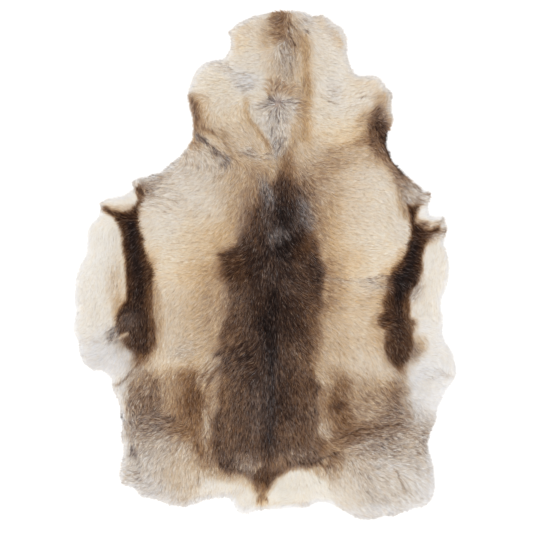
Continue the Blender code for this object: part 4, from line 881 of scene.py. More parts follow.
WISPS = [
    # nape
    Wisp("sable", 0.7, 1.6, 290, 20, 296, 30, 0.1),
    Wisp("sable", 0.7, 1.5, 288, 27, 289, 37, -0.1),
    Wisp("bark", 0.7, 1.4, 285, 22, 291, 24, 0.1),
    Wisp("sable", 0.75, 2.0, 293, 42, 297, 48, 0.1),
    Wisp("bark", 0.7, 1.4, 290, 36, 293, 42, 0.0),
    Wisp("cream", 0.7, 1.8, 291, 28, 295, 32, 0.2),
    Wisp("slate", 0.75, 1.6, 304, 30, 310, 31, 0.1),
    Wisp("slate", 0.75, 1.6, 306, 32, 311, 34, 0.0),
    Wisp("ash", 0.7, 1.5, 304, 22, 314, 16, 0.1),
    Wisp("ash", 0.5, 2.4, 330, 28, 338, 27, 0.1),
    Wisp("smoke", 0.6, 1.2, 276, 45, 283, 66, -0.12),
    Wisp("smoke", 0.6, 1.2, 279, 45, 291, 78, -0.14),
    Wisp("smoke", 0.6, 1.1, 286, 46, 292, 70, -0.10),
    Wisp("taupe", 0.6, 1.2, 294, 50, 296, 68, -0.05),
    Wisp("cream", 0.6, 1.4, 281, 48, 289, 74, -0.12),
    Wisp("hazel", 0.55, 1.4, 268, 40, 290, 48, 0.1),
    # crown and whorl
    Wisp("bark", 0.7, 1.3, 281, 77, 276, 81, 0.1),
    Wisp("bark", 0.65, 1.3, 277, 82, 271, 86, -0.1),
    Wisp("bark", 0.65, 1.3, 279, 85, 272, 90, -0.1),
    Wisp("bark", 0.65, 1.3, 276, 91, 268, 92, 0.1),
    Wisp("bark", 0.7, 1.4, 278, 94, 269, 96, 0.1),
    Wisp("taupe", 0.7, 1.2, 290, 88, 299, 83, 0.12),
    Wisp("taupe", 0.7, 1.2, 289, 98, 291, 91, 0.1),
    Wisp("steel", 0.6, 1.6, 270, 95, 268, 102, 0.05),
    Wisp("slate", 0.8, 1.6, 272, 97, 275, 108, 0.05),
    Wisp("slate", 0.7, 1.4, 270, 99, 256, 110, -0.15),
    Wisp("ash", 0.6, 1.2, 264, 101, 255, 106, -0.1),
    Wisp("slate", 0.7, 1.5, 277, 101, 299, 97, 0.08),
    Wisp("slate", 0.7, 1.4, 281, 104, 301, 104, -0.08),
    Wisp("slate", 0.7, 1.3, 280, 107, 290, 114, -0.1),
    Wisp("slate", 0.7, 1.4, 276, 104, 274, 124, -0.08),
    Wisp("slate", 0.7, 1.4, 279, 108, 273, 135, -0.10),
    Wisp("slate", 0.7, 1.3, 271, 106, 265, 127, -0.08),
    Wisp("slate", 0.65, 1.3, 283, 112, 285, 124, 0.1),
    Wisp("slate", 0.7, 1.6, 273, 128, 272, 139, 0.1),
    Wisp("slate", 0.7, 1.4, 279, 136, 275, 154, 0.1),
    Wisp("slate", 0.7, 1.4, 288, 138, 277, 157, 0.12),
    Wisp("smoke", 0.65, 1.3, 284, 137, 279, 148, 0.1),
    Wisp("steel", 0.65, 1.4, 262, 158, 274, 156, -0.25),
    Wisp("slate", 0.6, 1.2, 264, 160, 272, 161, -0.2),
    Wisp("milk", 0.7, 1.6, 262, 108, 270, 122, 0.05),
    Wisp("milk", 0.7, 1.6, 281, 110, 280, 134, -0.05),
    Wisp("milk", 0.6, 1.6, 289, 108, 296, 122, 0.05),
    # ridge and folds of the neck
    Wisp("cream", 0.6, 2.6, 249, 106, 258, 125, 0.08),
    Wisp("smoke", 0.7, 1.3, 241, 151, 257, 158, 0.08),
    Wisp("smoke", 0.6, 1.2, 246, 150, 255, 152, 0.1),
    Wisp("hazel", 0.5, 4.0, 200, 127, 218, 134, 0.05),
    Wisp("taupe", 0.4, 4.0, 197, 132, 213, 148, 0.06),
    Wisp("steel", 0.6, 1.5, 202, 138, 211, 149, 0.0),
    Wisp("smoke", 0.5, 1.6, 212, 150, 226, 158, 0.06),
    Wisp("smoke", 0.4, 4.0, 218, 152, 227, 161, 0.0),
    Wisp("tan", 0.6, 1.5, 196, 94, 209, 107, -0.25),
    # throat
    Wisp("ash", 0.6, 1.2, 236, 75, 255, 74, -0.1),
    Wisp("ash", 0.6, 1.2, 235, 82, 254, 79, -0.12),
    Wisp("slate", 0.5, 1.2, 236, 88, 256, 86, -0.1),
    Wisp("smoke", 0.6, 1.2, 243, 91, 255, 88, -0.1),
    Wisp("ash", 0.7, 1.4, 216, 61, 224, 67, 0.0),
    Wisp("ash", 0.7, 1.6, 224, 62, 237, 75, 0.05),
    Wisp("ash", 0.6, 1.2, 322, 94, 327, 98, 0.0),
    Wisp("ash", 0.6, 1.1, 327, 86, 338, 85, -0.05),
    Wisp("ash", 0.6, 1.1, 328, 91, 340, 90, -0.05),
    Wisp("ash", 0.6, 1.1, 330, 97, 340, 95, -0.05),
    Wisp("ash", 0.55, 1.1, 325, 99, 342, 111, -0.08),
    Wisp("slate", 0.65, 1.5, 359, 98, 368, 94, 0.05),
    Wisp("umber", 0.7, 1.3, 317, 268, 330, 272, -0.1),
    Wisp("umber", 0.7, 1.3, 318, 288, 331, 293, -0.1),
    Wisp("umber", 0.5, 1.1, 320, 276, 329, 279, -0.1),
    Wisp("taupe", 0.6, 1.2, 406, 184, 424, 194, -0.05),
    Wisp("taupe", 0.6, 1.2, 404, 190, 420, 199, -0.05),
    Wisp("taupe", 0.6, 1.1, 404, 197, 416, 203, -0.05),
    Wisp("umber", 0.7, 1.3, 419, 198, 432, 194, -0.1),
    Wisp("umber", 0.6, 1.2, 414, 204, 427, 200, -0.1),
    Wisp("smoke", 0.5, 1.1, 356, 94, 366, 91, 0.05),
    Wisp("ash", 0.5, 2.0, 344, 109, 358, 105, 0.05),
    # shoulder, left
    Wisp("smoke", 0.55, 1.2, 146, 205, 168, 216, -0.12),
    Wisp("smoke", 0.5, 1.2, 150, 203, 174, 211, -0.10),
    Wisp("smoke", 0.5, 1.1, 160, 198, 182, 208, -0.12),
    Wisp("smoke", 0.45, 1.1, 168, 195, 188, 203, -0.10),
    Wisp("smoke", 0.5, 1.1, 150, 190, 176, 192, -0.10),
    Wisp("smoke", 0.5, 1.1, 152, 186, 178, 187, -0.10),
    Wisp("slate", 0.5, 1.3, 184, 152, 190, 158, 0.0),
    # haunches
    Wisp("dusk", 0.7, 1.8, 160, 416, 175, 419, 0.08),
    Wisp("umber", 0.6, 1.3, 162, 419, 178, 421, 0.06),
    Wisp("slate", 0.45, 1.2, 148, 424, 168, 423, 0.08),
    Wisp("slate", 0.6, 1.4, 134, 479, 143, 481, 0.06),
    Wisp("slate", 0.5, 1.3, 128, 470, 142, 473, 0.06),
    Wisp("slate", 0.55, 1.2, 380, 441, 388, 447, 0.05),
    Wisp("slate", 0.55, 1.2, 392, 402, 402, 414, 0.05),
    Wisp("slate", 0.55, 1.2, 398, 400, 407, 413, 0.05),
    Wisp("slate", 0.5, 1.2, 418, 418, 425, 424, 0.05),
    Wisp("ash", 0.6, 1.2, 366, 462, 392, 468, 0.08),
    # tail
    Wisp("umber", 0.7, 1.5, 261, 494, 257, 506, 0.05),
    Wisp("russet", 0.8, 1.6, 263, 494, 268, 505, -0.05),
    Wisp("umber", 0.7, 1.2, 261, 496, 261, 506, 0.0),
    # belly
    Wisp("slate", 0.6, 1.3, 120, 327, 107, 334, 0.12),
    Wisp("slate", 0.6, 1.3, 120, 331, 106, 340, 0.12),
    Wisp("slate", 0.55, 1.3, 119, 336, 108, 346, 0.12),
]


# How the hair is combed: the way it points at each place, in degrees from
# straight right, turning down the sheet, so 90 is towards the tail.
Stroke = namedtuple("Stroke", "x y heading")

COMB = [
    # neck, left of the nape
    Stroke(250, 30, 190), Stroke(238, 48, 185), Stroke(262, 25, 196), Stroke(256, 58, 172),
    Stroke(240, 70, 180), Stroke(220, 70, 184), Stroke(203, 80, 180), Stroke(215, 92, 176),
    Stroke(236, 84, 178), Stroke(250, 84, 176), Stroke(192, 100, 130), Stroke(194, 116, 98),
    Stroke(197, 127, 88), Stroke(212, 108, 118), Stroke(228, 106, 150), Stroke(226, 120, 40),
    Stroke(240, 126, 52), Stroke(228, 136, 42), Stroke(212, 136, 42), Stroke(202, 142, 48),
    Stroke(212, 150, 52), Stroke(236, 150, 36), Stroke(250, 154, 24), Stroke(262, 157, 14),
    # nape and whorl
    Stroke(276, 20, 182), Stroke(278, 34, 184), Stroke(268, 40, 200), Stroke(293, 22, 62),
    Stroke(292, 34, 66), Stroke(284, 50, 74), Stroke(292, 60, 88), Stroke(300, 70, 92),
    Stroke(284, 70, 90), Stroke(270, 60, 110), Stroke(290, 78, 100), Stroke(268, 90, 205),
    Stroke(276, 90, 300), Stroke(290, 86, 326), Stroke(262, 106, 172), Stroke(264, 98, 190),
    Stroke(296, 99, 350), Stroke(298, 106, 12), Stroke(266, 118, 122), Stroke(276, 118, 94),
    Stroke(288, 114, 52), Stroke(294, 124, 48), Stroke(272, 134, 98), Stroke(284, 136, 92),
    Stroke(280, 150, 104), Stroke(250, 112, 66), Stroke(256, 128, 55), Stroke(266, 142, 55),
    Stroke(272, 152, 62), Stroke(304, 50, 88), Stroke(306, 90, 88), Stroke(304, 125, 92),
    # neck, right of the nape
    Stroke(312, 22, 10), Stroke(330, 34, 5), Stroke(342, 50, 15), Stroke(316, 60, 8),
    Stroke(334, 78, 14), Stroke(328, 94, 12), Stroke(316, 108, 24), Stroke(346, 96, 344),
    Stroke(364, 94, 338), Stroke(350, 112, 352), Stroke(372, 110, 300), Stroke(384, 100, 312),
    Stroke(386, 116, 350), Stroke(384, 130, 25), Stroke(374, 128, 92), Stroke(338, 124, 10),
    Stroke(318, 128, 22), Stroke(332, 142, 4), Stroke(350, 148, 350), Stroke(366, 142, 350),
    Stroke(378, 148, 62), Stroke(388, 158, 62), Stroke(400, 174, 46), Stroke(414, 184, 36),
    Stroke(424, 192, 24),
    # withers and shoulders, right
    Stroke(300, 160, 60), Stroke(312, 168, 16), Stroke(330, 160, 0), Stroke(350, 168, 2),
    Stroke(368, 172, 12), Stroke(384, 180, 32), Stroke(304, 184, 66), Stroke(324, 184, 20),
    Stroke(346, 192, 6), Stroke(366, 198, 12), Stroke(386, 204, 36), Stroke(399, 204, 60),
    Stroke(400, 224, 20), Stroke(306, 206, 62), Stroke(324, 212, 44), Stroke(342, 216, 20),
    Stroke(362, 222, 14), Stroke(382, 226, 30), Stroke(316, 232, 46), Stroke(334, 238, 28),
    Stroke(354, 248, 6), Stroke(374, 252, 358), Stroke(390, 250, 0),
    # flank, right
    Stroke(322, 256, 30), Stroke(338, 266, 12), Stroke(358, 272, 4), Stroke(378, 276, 0),
    Stroke(346, 290, 4), Stroke(366, 292, 0), Stroke(324, 284, 22), Stroke(330, 304, 24),
    Stroke(348, 308, 8), Stroke(368, 312, 6), Stroke(384, 316, 0), Stroke(330, 326, 44),
    Stroke(350, 330, 26), Stroke(368, 336, 32), Stroke(336, 346, 50), Stroke(356, 352, 46),
    Stroke(376, 354, 48), Stroke(392, 362, 46), Stroke(342, 370, 50), Stroke(366, 374, 56),
    Stroke(386, 380, 54),
    # spine and saddle
    Stroke(284, 168, 92), Stroke(268, 180, 92), Stroke(267, 210, 90), Stroke(266, 245, 90),
    Stroke(266, 280, 90), Stroke(266, 315, 90), Stroke(267, 350, 88), Stroke(267, 385, 90),
    Stroke(267, 420, 90), Stroke(266, 455, 92), Stroke(260, 480, 96), Stroke(260, 500, 94),
    Stroke(280, 194, 84), Stroke(284, 220, 74), Stroke(292, 240, 58), Stroke(302, 252, 44),
    Stroke(312, 262, 34), Stroke(290, 266, 58), Stroke(300, 284, 40), Stroke(312, 300, 26),
    Stroke(290, 302, 52), Stroke(281, 322, 80), Stroke(296, 330, 58), Stroke(312, 344, 54),
    Stroke(324, 360, 50), Stroke(284, 352, 80), Stroke(296, 374, 68), Stroke(312, 390, 62),
    Stroke(300, 410, 70), Stroke(284, 402, 80), Stroke(290, 436, 72), Stroke(300, 452, 58),
    Stroke(314, 450, 36), Stroke(322, 420, 70), Stroke(330, 396, 72),
    Stroke(252, 192, 100), Stroke(250, 214, 104), Stroke(246, 234, 116), Stroke(236, 248, 168),
    Stroke(222, 254, 172), Stroke(238, 262, 150), Stroke(250, 272, 112), Stroke(246, 292, 106),
    Stroke(236, 304, 114), Stroke(226, 314, 122), Stroke(252, 322, 102), Stroke(240, 336, 128),
    Stroke(250, 348, 142), Stroke(250, 362, 150), Stroke(236, 370, 132), Stroke(224, 362, 136),
    Stroke(212, 372, 134), Stroke(252, 388, 100), Stroke(240, 396, 106), Stroke(226, 402, 112),
    Stroke(246, 430, 95), Stroke(226, 440, 100), Stroke(206, 424, 92), Stroke(236, 464, 100),
    # shoulders and flank, left
    Stroke(240, 176, 108), Stroke(226, 180, 130), Stroke(210, 188, 142), Stroke(190, 190, 164),
    Stroke(170, 184, 167), Stroke(154, 178, 160), Stroke(152, 200, 186), Stroke(172, 208, 186),
    Stroke(186, 224, 178), Stroke(202, 218, 150), Stroke(216, 212, 134), Stroke(228, 228, 130),
    Stroke(182, 250, 176), Stroke(164, 242, 182), Stroke(154, 226, 130), Stroke(144, 230, 168),
    Stroke(150, 250, 145), Stroke(202, 250, 152), Stroke(210, 266, 148), Stroke(190, 270, 172),
    Stroke(172, 270, 178), Stroke(204, 290, 130), Stroke(182, 300, 126), Stroke(166, 300, 102),
    Stroke(160, 328, 95), Stroke(180, 328, 120), Stroke(196, 322, 148), Stroke(170, 350, 108),
    Stroke(186, 362, 142), Stroke(206, 342, 148), Stroke(190, 344, 158), Stroke(157, 362, 108),
    # left band and belly
    Stroke(120, 213, 207), Stroke(132, 210, 250), Stroke(140, 192, 270), Stroke(130, 230, 142), Stroke(136, 222, 162),
    Stroke(133, 248, 128), Stroke(144, 256, 130), Stroke(134, 268, 118), Stroke(148, 266, 135), Stroke(138, 290, 106), Stroke(142, 320, 93), Stroke(142, 345, 96),
    Stroke(118, 200, 190), Stroke(106, 202, 196), Stroke(115, 236, 95), Stroke(100, 240, 100),
    Stroke(88, 262, 130), Stroke(112, 270, 92), Stroke(96, 285, 98), Stroke(82, 295, 102),
    Stroke(114, 298, 108), Stroke(98, 316, 110), Stroke(113, 320, 122), Stroke(112, 336, 132),
    Stroke(84, 338, 162), Stroke(100, 346, 152), Stroke(94, 360, 178), Stroke(124, 368, 122),
    Stroke(126, 350, 118),
    # haunch, left
    Stroke(125, 384, 112), Stroke(138, 390, 124), Stroke(126, 405, 95), Stroke(128, 418, 60),
    Stroke(147, 402, 116), Stroke(160, 388, 96), Stroke(172, 388, 96), Stroke(190, 400, 90),
    Stroke(178, 410, 92), Stroke(150, 420, 162), Stroke(166, 418, 186), Stroke(178, 430, 172),
    Stroke(150, 434, 162), Stroke(128, 440, 92), Stroke(140, 458, 112), Stroke(158, 452, 122),
    Stroke(180, 450, 104), Stroke(200, 452, 92), Stroke(150, 474, 126), Stroke(132, 474, 184),
    Stroke(168, 476, 98), Stroke(190, 480, 98), Stroke(214, 470, 94), Stroke(150, 488, 168),
    Stroke(182, 498, 112), Stroke(204, 498, 92), Stroke(222, 498, 96), Stroke(240, 492, 104),
    Stroke(246, 508, 108),
    # haunch, right
    Stroke(342, 400, 56), Stroke(340, 418, 64), Stroke(356, 410, 20), Stroke(372, 418, 4),
    Stroke(390, 408, 24), Stroke(396, 392, 48), Stroke(346, 434, 350), Stroke(364, 430, 352),
    Stroke(384, 427, 354), Stroke(402, 428, 2), Stroke(382, 442, 8), Stroke(402, 444, 2),
    Stroke(418, 424, 16), Stroke(424, 444, 62), Stroke(352, 444, 356), Stroke(370, 456, 26),
    Stroke(388, 460, 4), Stroke(404, 462, 2), Stroke(420, 464, 24), Stroke(350, 468, 62),
    Stroke(338, 472, 72), Stroke(356, 488, 52), Stroke(380, 474, 24), Stroke(400, 488, 50),
    Stroke(420, 488, 48), Stroke(368, 504, 36), Stroke(390, 510, 30), Stroke(412, 506, 8),
    # rump
    Stroke(282, 482, 130), Stroke(300, 478, 96), Stroke(318, 482, 62), Stroke(290, 498, 160),
    Stroke(312, 500, 40), Stroke(326, 508, 30), Stroke(274, 502, 120),
    # forelegs, right band and belly
    Stroke(406, 184, 38), Stroke(420, 196, 22), Stroke(397, 196, 82), Stroke(404, 214, 92),
    Stroke(425, 214, 344), Stroke(436, 218, 346), Stroke(428, 230, 346), Stroke(410, 226, 60),
    Stroke(408, 242, 36), Stroke(400, 256, 18), Stroke(411, 263, 22), Stroke(398, 268, 12), Stroke(394, 278, 40),
    Stroke(404, 284, 62), Stroke(394, 298, 88), Stroke(402, 308, 80), Stroke(398, 322, 40),
    Stroke(404, 336, 60), Stroke(400, 352, 60), Stroke(434, 248, 104), Stroke(430, 264, 110),
    Stroke(438, 276, 92), Stroke(416, 290, 142), Stroke(434, 292, 96), Stroke(422, 304, 100),
    Stroke(436, 310, 84), Stroke(420, 322, 12), Stroke(436, 330, 20), Stroke(416, 340, 62),
    Stroke(436, 346, 4), Stroke(428, 360, 4), Stroke(446, 362, 66), Stroke(420, 372, 14),
    Stroke(436, 378, 10), Stroke(418, 390, 30), Stroke(434, 396, 16), Stroke(410, 380, 60),
    Stroke(420, 408, 60),
]


def lattice_noise(x, y, size, seed):
    """Smooth noise from -1 to 1 with features of about that size."""
    rng = np.random.default_rng(seed)
    table = rng.uniform(-1.0, 1.0, (64, 64))
    u, v = x / size + 7.3, y / size + 3.1
    i, j = np.floor(u).astype(int), np.floor(v).astype(int)
    fu, fv = u - i, v - j
    fu, fv = fu * fu * (3 - 2 * fu), fv * fv * (3 - 2 * fv)
    a = table[i % 64, j % 64]
    b = table[(i + 1) % 64, j % 64]
    c = table[i % 64, (j + 1) % 64]
    d = table[(i + 1) % 64, (j + 1) % 64]
    return (a * (1 - fu) + b * fu) * (1 - fv) + (c * (1 - fu) + d * fu) * fv


def ease(t):
    t = np.clip(t, 0.0, 1.0)
    return t * t * (3.0 - 2.0 * t)


def from_segments(x, y, points, closed):
    """The distance to a run of straight lines, and whether each point is inside it."""
    ends = list(points) + ([points[0]] if closed else [])
    best = np.full(x.shape, 1e18)
    within = np.zeros(x.shape, bool)
    for (x0, y0), (x1, y1) in zip(ends[:-1], ends[1:]):
        dx, dy = x1 - x0, y1 - y0
        px, py = x - x0, y - y0
        t = np.clip((px * dx + py * dy) / max(dx * dx + dy * dy, 1e-9), 0, 1)
        px, py = px - t * dx, py - t * dy
        best = np.minimum(best, px * px + py * py)
        if closed and y0 != y1:
            crosses = (y0 > y) != (y1 > y)
            within ^= crosses & (x < (x1 - x0) * (y - y0) / (y1 - y0) + x0)
    return np.sqrt(best), within


def reach(mark):
    """The part of the chart that a mark can touch: left, right, top and bottom."""
    if isinstance(mark, Blob):
        spread = (1.0 + mark.soft) * max(mark.rx, mark.ry)
        return mark.x - spread, mark.x + spread, mark.y - spread, mark.y + spread
    margin = mark.soft + (0 if isinstance(mark, Shape) else mark.width / 2)
    xs, ys = [p[0] for p in mark.points], [p[1] for p in mark.points]
    return min(xs) - margin, max(xs) + margin, min(ys) - margin, max(ys) + margin


def cover(mark, x, y):
    """How much of a mark lies at each point, from 0 to 1."""
    if isinstance(mark, Blob):
        turn = math.radians(mark.turn)
        u = (x - mark.x) * math.cos(turn) + (y - mark.y) * math.sin(turn)
        v = -(x - mark.x) * math.sin(turn) + (y - mark.y) * math.cos(turn)
        out = np.hypot(u / mark.rx, v / mark.ry)
        return mark.amount * ease((1.0 - out) / (2.0 * mark.soft) + 0.5)
    closed = isinstance(mark, Shape)
    gap, within = from_segments(x, y, mark.points, closed)
    depth = np.where(within, gap, -gap) if closed else mark.width / 2 - gap
    return mark.amount * ease(depth / (2.0 * mark.soft) + 0.5)


def stroke_cover(x, y, points, width):
    """A stroke of hair: full along its middle, and thinner towards both ends."""
    gap = np.full(x.shape, 1e9)
    thick = np.zeros(x.shape)
    spans = len(points) - 1
    for k in range(spans):
        (x0, y0), (x1, y1) = points[k], points[k + 1]
        dx, dy = x1 - x0, y1 - y0
        t = np.clip(((x - x0) * dx + (y - y0) * dy) / max(dx * dx + dy * dy, 1e-9), 0, 1)
        away = np.hypot(x - x0 - t * dx, y - y0 - t * dy)
        nearer = away < gap
        gap = np.where(nearer, away, gap)
        thick = np.where(nearer, np.sin(math.pi * (0.08 + 0.84 * (k + t) / spans)), thick)
    half = 0.5 * width * (0.35 + 0.65 * thick)
    return ease((half + 0.55 - gap) / 1.1) * (0.3 + 0.7 * thick)


def window(x, y, left, right, top, bottom, step):
    rows = slice(max(0, int(top / step)), max(0, int(bottom / step) + 2))
    columns = slice(max(0, int(left / step)), max(0, int(right / step) + 2))
    return rows, columns


def brushed(tone, x, y, step, points, width, amount, colour):
    """Lays one stroke of that colour over the field's tones."""
    xs, ys = [p[0] for p in points], [p[1] for p in points]
    part = window(x, y, min(xs) - 4, max(xs) + 4, min(ys) - 4, max(ys) + 4, step)
    cover_here = amount * stroke_cover(x[part], y[part], points, width)[..., None]
    tone[part] += (np.array(colour) - tone[part]) * cover_here


def wisp_points(wisp):
    """The points of a wisp: a run from one end to the other, bowed to one side."""
    dx, dy = wisp.x1 - wisp.x0, wisp.y1 - wisp.y0
    points = []
    for k in range(6):
        t = k / 5.0
        side = wisp.bow * 4.0 * t * (1.0 - t)
        points.append((wisp.x0 + dx * t - dy * side, wisp.y0 + dy * t + dx * side))
    return points


def fleck_strokes(flecks, lie, seed):
    """Strokes scattered over an ellipse, each lying as the hair does there."""
    rng = np.random.default_rng(seed)
    turn = math.radians(flecks.turn)
    for _ in range(flecks.count):
        out, way = math.sqrt(rng.uniform(0, 1)), rng.uniform(0, 2 * math.pi)
        u, v = flecks.rx * out * math.cos(way), flecks.ry * out * math.sin(way)
        x = flecks.x + u * math.cos(turn) - v * math.sin(turn)
        y = flecks.y + u * math.sin(turn) + v * math.cos(turn)
        run = flecks.length * rng.uniform(0.55, 1.3) / 4.0
        drift, curl = rng.normal(0, 0.22), rng.normal(0, 0.10)
        points = [(x, y)]
        for k in range(4):
            flow = lie.at(x, y)
            heading = math.atan2(flow[1], flow[0]) + drift + curl * (k - 1.5)
            x, y = x + run * math.cos(heading), y + run * math.sin(heading)
            points.append((x, y))
        yield points, flecks.width * rng.uniform(0.6, 1.25), flecks.amount * rng.uniform(0.45, 1.0)


def rim_thinned_and_lit(tone, x, y, depth):
    """Pale hair thins out towards the outline: it is painted whiter and less warm there, partly for the thinner hair
    and partly as painted rim light.
    """
    near = ease((RIM - depth.at(x, y) + 0.8 * lattice_noise(x, y, 6.0, 15)) / RIM)
    near = near * ease((tone[..., 0] - 0.6) / 0.2)
    tone[..., 0] += (np.maximum(tone[..., 0], RIM_LIGHT) - tone[..., 0]) * 0.5 * near
    tone[..., 1] += (np.minimum(tone[..., 1], RIM_WARM) - tone[..., 1]) * 0.8 * near
    return tone


def coat_field(step, lie, depth):
    """The coat's lightness, warmth and grain, as a field over the chart."""
    x, y = raster(step)
    wx = x + 0.7 * lattice_noise(x, y, 13.0, 11) + 0.5 * lattice_noise(x, y, 5.0, 12)
    wy = y + 0.8 * lattice_noise(x, y, 15.0, 13) + 0.5 * lattice_noise(x, y, 5.5, 14)
    tone = np.zeros(x.shape + (3,))
    tone[:] = (0.76, 0.68, 0.03)
    for mark in CHART:
        left, right, top, bottom = reach(mark)
        rows = slice(max(0, int((top - 5) / step)), max(0, int((bottom + 5) / step) + 2))
        columns = slice(max(0, int((left - 5) / step)), max(0, int((right + 5) / step) + 2))
        part = cover(mark, wx[rows, columns], wy[rows, columns])[..., None]
        tone[rows, columns] += (np.array(TONES[mark.tone]) - tone[rows, columns]) * part
    for k, flecks in enumerate(FLECKS):
        colour = TONES[flecks.tone]
        for points, width, amount in fleck_strokes(flecks, lie, 600 + k):
            brushed(tone, x, y, step, points, width, amount, colour)
    for wisp in WISPS:
        colour = TONES[wisp.tone]
        brushed(tone, x, y, step, wisp_points(wisp), wisp.width, wisp.amount, colour)
    return Field(rim_thinned_and_lit(tone, x, y, depth), step)


# ---------------------------------------------------------------------------
# Sizes, in metres unless a comment says chart units
# ---------------------------------------------------------------------------

UNIT = 0.00236  # one unit of the chart
MIDDLE = (265.0, 265.25)  # the chart point over the middle of the hide
CHART_SIZE = 533  # chart units across the sheet
CHART_STEP = 0.75  # chart units between the points of the coat's colours
SKIN = 0.0018  # thickness of the leather
SKIN_INSET = 2.8  # chart units from the fur's outline to the cut edge
SKIN_STEP = 0.0098
WOOL = 0.64  # the undercoat's share of the pile's height
WOOL_INSET = 1.3  # chart units
WOOL_STEP = 0.0058
HAIRS = 266000
HAIR_PIECES = 5
HAIR_LENGTH = 0.0145
HAIR_WIDTH = 0.00105
ROOT_DEPTH = 0.0026  # below the undercoat's surface
LOCK = 2.1  # chart units across a lock of hair
STRAND = 1.05  # and across a strand of one tone within it
FUZZ = 23500  # short hairs along the rim
WORLD_LIGHT = 1.15

# lamps: name, strength, angular size, tilt and turn in degrees
LAMPS = [("softbox", 1.1, 50.0, 28.0, -35.0)]
RIM = 5.5  # chart units over which pale hair at the outline is painted lighter and cooler, for thinner hair and painted rim light
RIM_LIGHT = 0.85
RIM_WARM = 0.25


def to_metres(x, y):
    return (x - MIDDLE[0]) * UNIT, (MIDDLE[1] - y) * UNIT


def to_chart(x, y):
    return x / UNIT + MIDDLE[0], MIDDLE[1] - y / UNIT


class Field:
    """Values on a square raster over the chart, read between its points."""

    def __init__(self, values, step):
        self.values, self.step = values, step

    def at(self, x, y):
        rows, columns = self.values.shape[:2]
        u = np.clip(np.asarray(x, float) / self.step, 0, columns - 1.001)
        v = np.clip(np.asarray(y, float) / self.step, 0, rows - 1.001)
        i, j = u.astype(int), v.astype(int)
        fu, fv = u - i, v - j
        if self.values.ndim == 3:
            fu, fv = fu[..., None], fv[..., None]
        t = self.values
        near = t[j, i] * (1 - fu) + t[j, i + 1] * fu
        far = t[j + 1, i] * (1 - fu) + t[j + 1, i + 1] * fu
        return near * (1 - fv) + far * fv


def raster(step):
    ticks = np.arange(0.0, CHART_SIZE + step, step)
    return np.meshgrid(ticks, ticks)


# ---------------------------------------------------------------------------
# The frame's solid: its outline, its underside and the height of its pile
# ---------------------------------------------------------------------------


def frame_outline(node):
    """The frame's outline as a closed run of points, in metres."""
    mesh = node.data
    keys = {}
    weld = []
    for v in mesh.vertices:
        key = tuple(round(c, 5) for c in v.co)
        weld.append(keys.setdefault(key, len(keys)))
    places = list(keys)
    edges = {}
    for p in mesh.polygons:
        if p.normal.z > -0.35:
            continue
        ring = [weld[v] for v in p.vertices]
        for a, b in zip(ring, ring[1:] + ring[:1]):
            if (b, a) in edges:
                del edges[(b, a)]
            else:
                edges[(a, b)] = True
    following = {a: b for a, b in edges}
    loops = []
    while following:
        start = next(iter(following))
        loop, at = [], start
        while at in following:
            loop.append(at)
            at = following.pop(at)
        loops.append(loop)
    longest = max(loops, key=len)
    return np.array([places[i][:2] for i in longest])


def fill_outward(values, turns):
    """Carries the values of a raster out into its empty cells."""
    for _ in range(turns):
        empty = np.isnan(values)
        if not empty.any():
            break
        padded = np.pad(values, 1, constant_values=np.nan)
        around = np.stack(
            [
                padded[1 + dy : padded.shape[0] - 1 + dy, 1 + dx : padded.shape[1] - 1 + dx]
                for dy in (-1, 0, 1)
                for dx in (-1, 0, 1)
            ]
        )
        known = ~np.isnan(around)
        total = np.where(known, around, 0.0).sum(0)
        count = known.sum(0)
        fresh = empty & (count > 0)
        values[fresh] = total[fresh] / count[fresh]
    values[np.isnan(values)] = 0.0
    return values


def frame_heights(node):
    """The underside and the top of the frame's solid, as fields over the chart."""
    tree = BVHTree.FromPolygons(
        [v.co for v in node.data.vertices], [p.vertices for p in node.data.polygons]
    )
    step = 2.0
    x, y = raster(step)
    mx, my = to_metres(x, y)
    low = np.full(x.shape, np.nan)
    high = np.full(x.shape, np.nan)
    up, down = Vector((0, 0, 1)), Vector((0, 0, -1))
    for j in range(x.shape[0]):
        for i in range(x.shape[1]):
            hit = tree.ray_cast(Vector((mx[j, i], my[j, i], -0.5)), up)[0]
            if hit is not None:
                low[j, i] = hit.z
                high[j, i] = tree.ray_cast(Vector((mx[j, i], my[j, i], 0.5)), down)[0].z
    return Field(fill_outward(low, 14), step), Field(fill_outward(high, 14), step)


def depth_field(outline):
    """How far inside the outline each point of the chart lies, in chart units."""
    x, y = raster(1.0)
    points = [to_chart(px, py) for px, py in outline]
    gap, within = from_segments(x, y, points, True)
    return Field(np.where(within, gap, -gap), 1.0)


# ---------------------------------------------------------------------------
# The lie of the hair
# ---------------------------------------------------------------------------


def lie_field():
    """The direction of the hair as a unit vector over the chart, x right, y down."""
    step = 4.0
    x, y = raster(step)
    total = np.zeros(x.shape + (2,))
    for stroke in COMB:
        turn = math.radians(stroke.heading)
        away = np.hypot(x - stroke.x, y - stroke.y)
        pull = 1.0 / (away**2 + 25.0) ** 2
        total[..., 0] += pull * math.cos(turn)
        total[..., 1] += pull * math.sin(turn)
    total /= np.maximum(np.hypot(total[..., 0], total[..., 1]), 1e-12)[..., None]
    return Field(total, step)


# ---------------------------------------------------------------------------
# Meshes
# ---------------------------------------------------------------------------


def inward(points, inset):
    """A closed run of points moved in by that much, smoothed a little."""
    before, after = np.roll(points, 1, 0), np.roll(points, -1, 0)
    along = after - before
    along /= np.maximum(np.hypot(along[:, 0], along[:, 1]), 1e-9)[:, None]
    area = np.sum(points[:, 0] * after[:, 1] - after[:, 0] * points[:, 1])
    side = 1.0 if area > 0 else -1.0
    return points + inset * side * np.stack([-along[:, 1], along[:, 0]], 1)


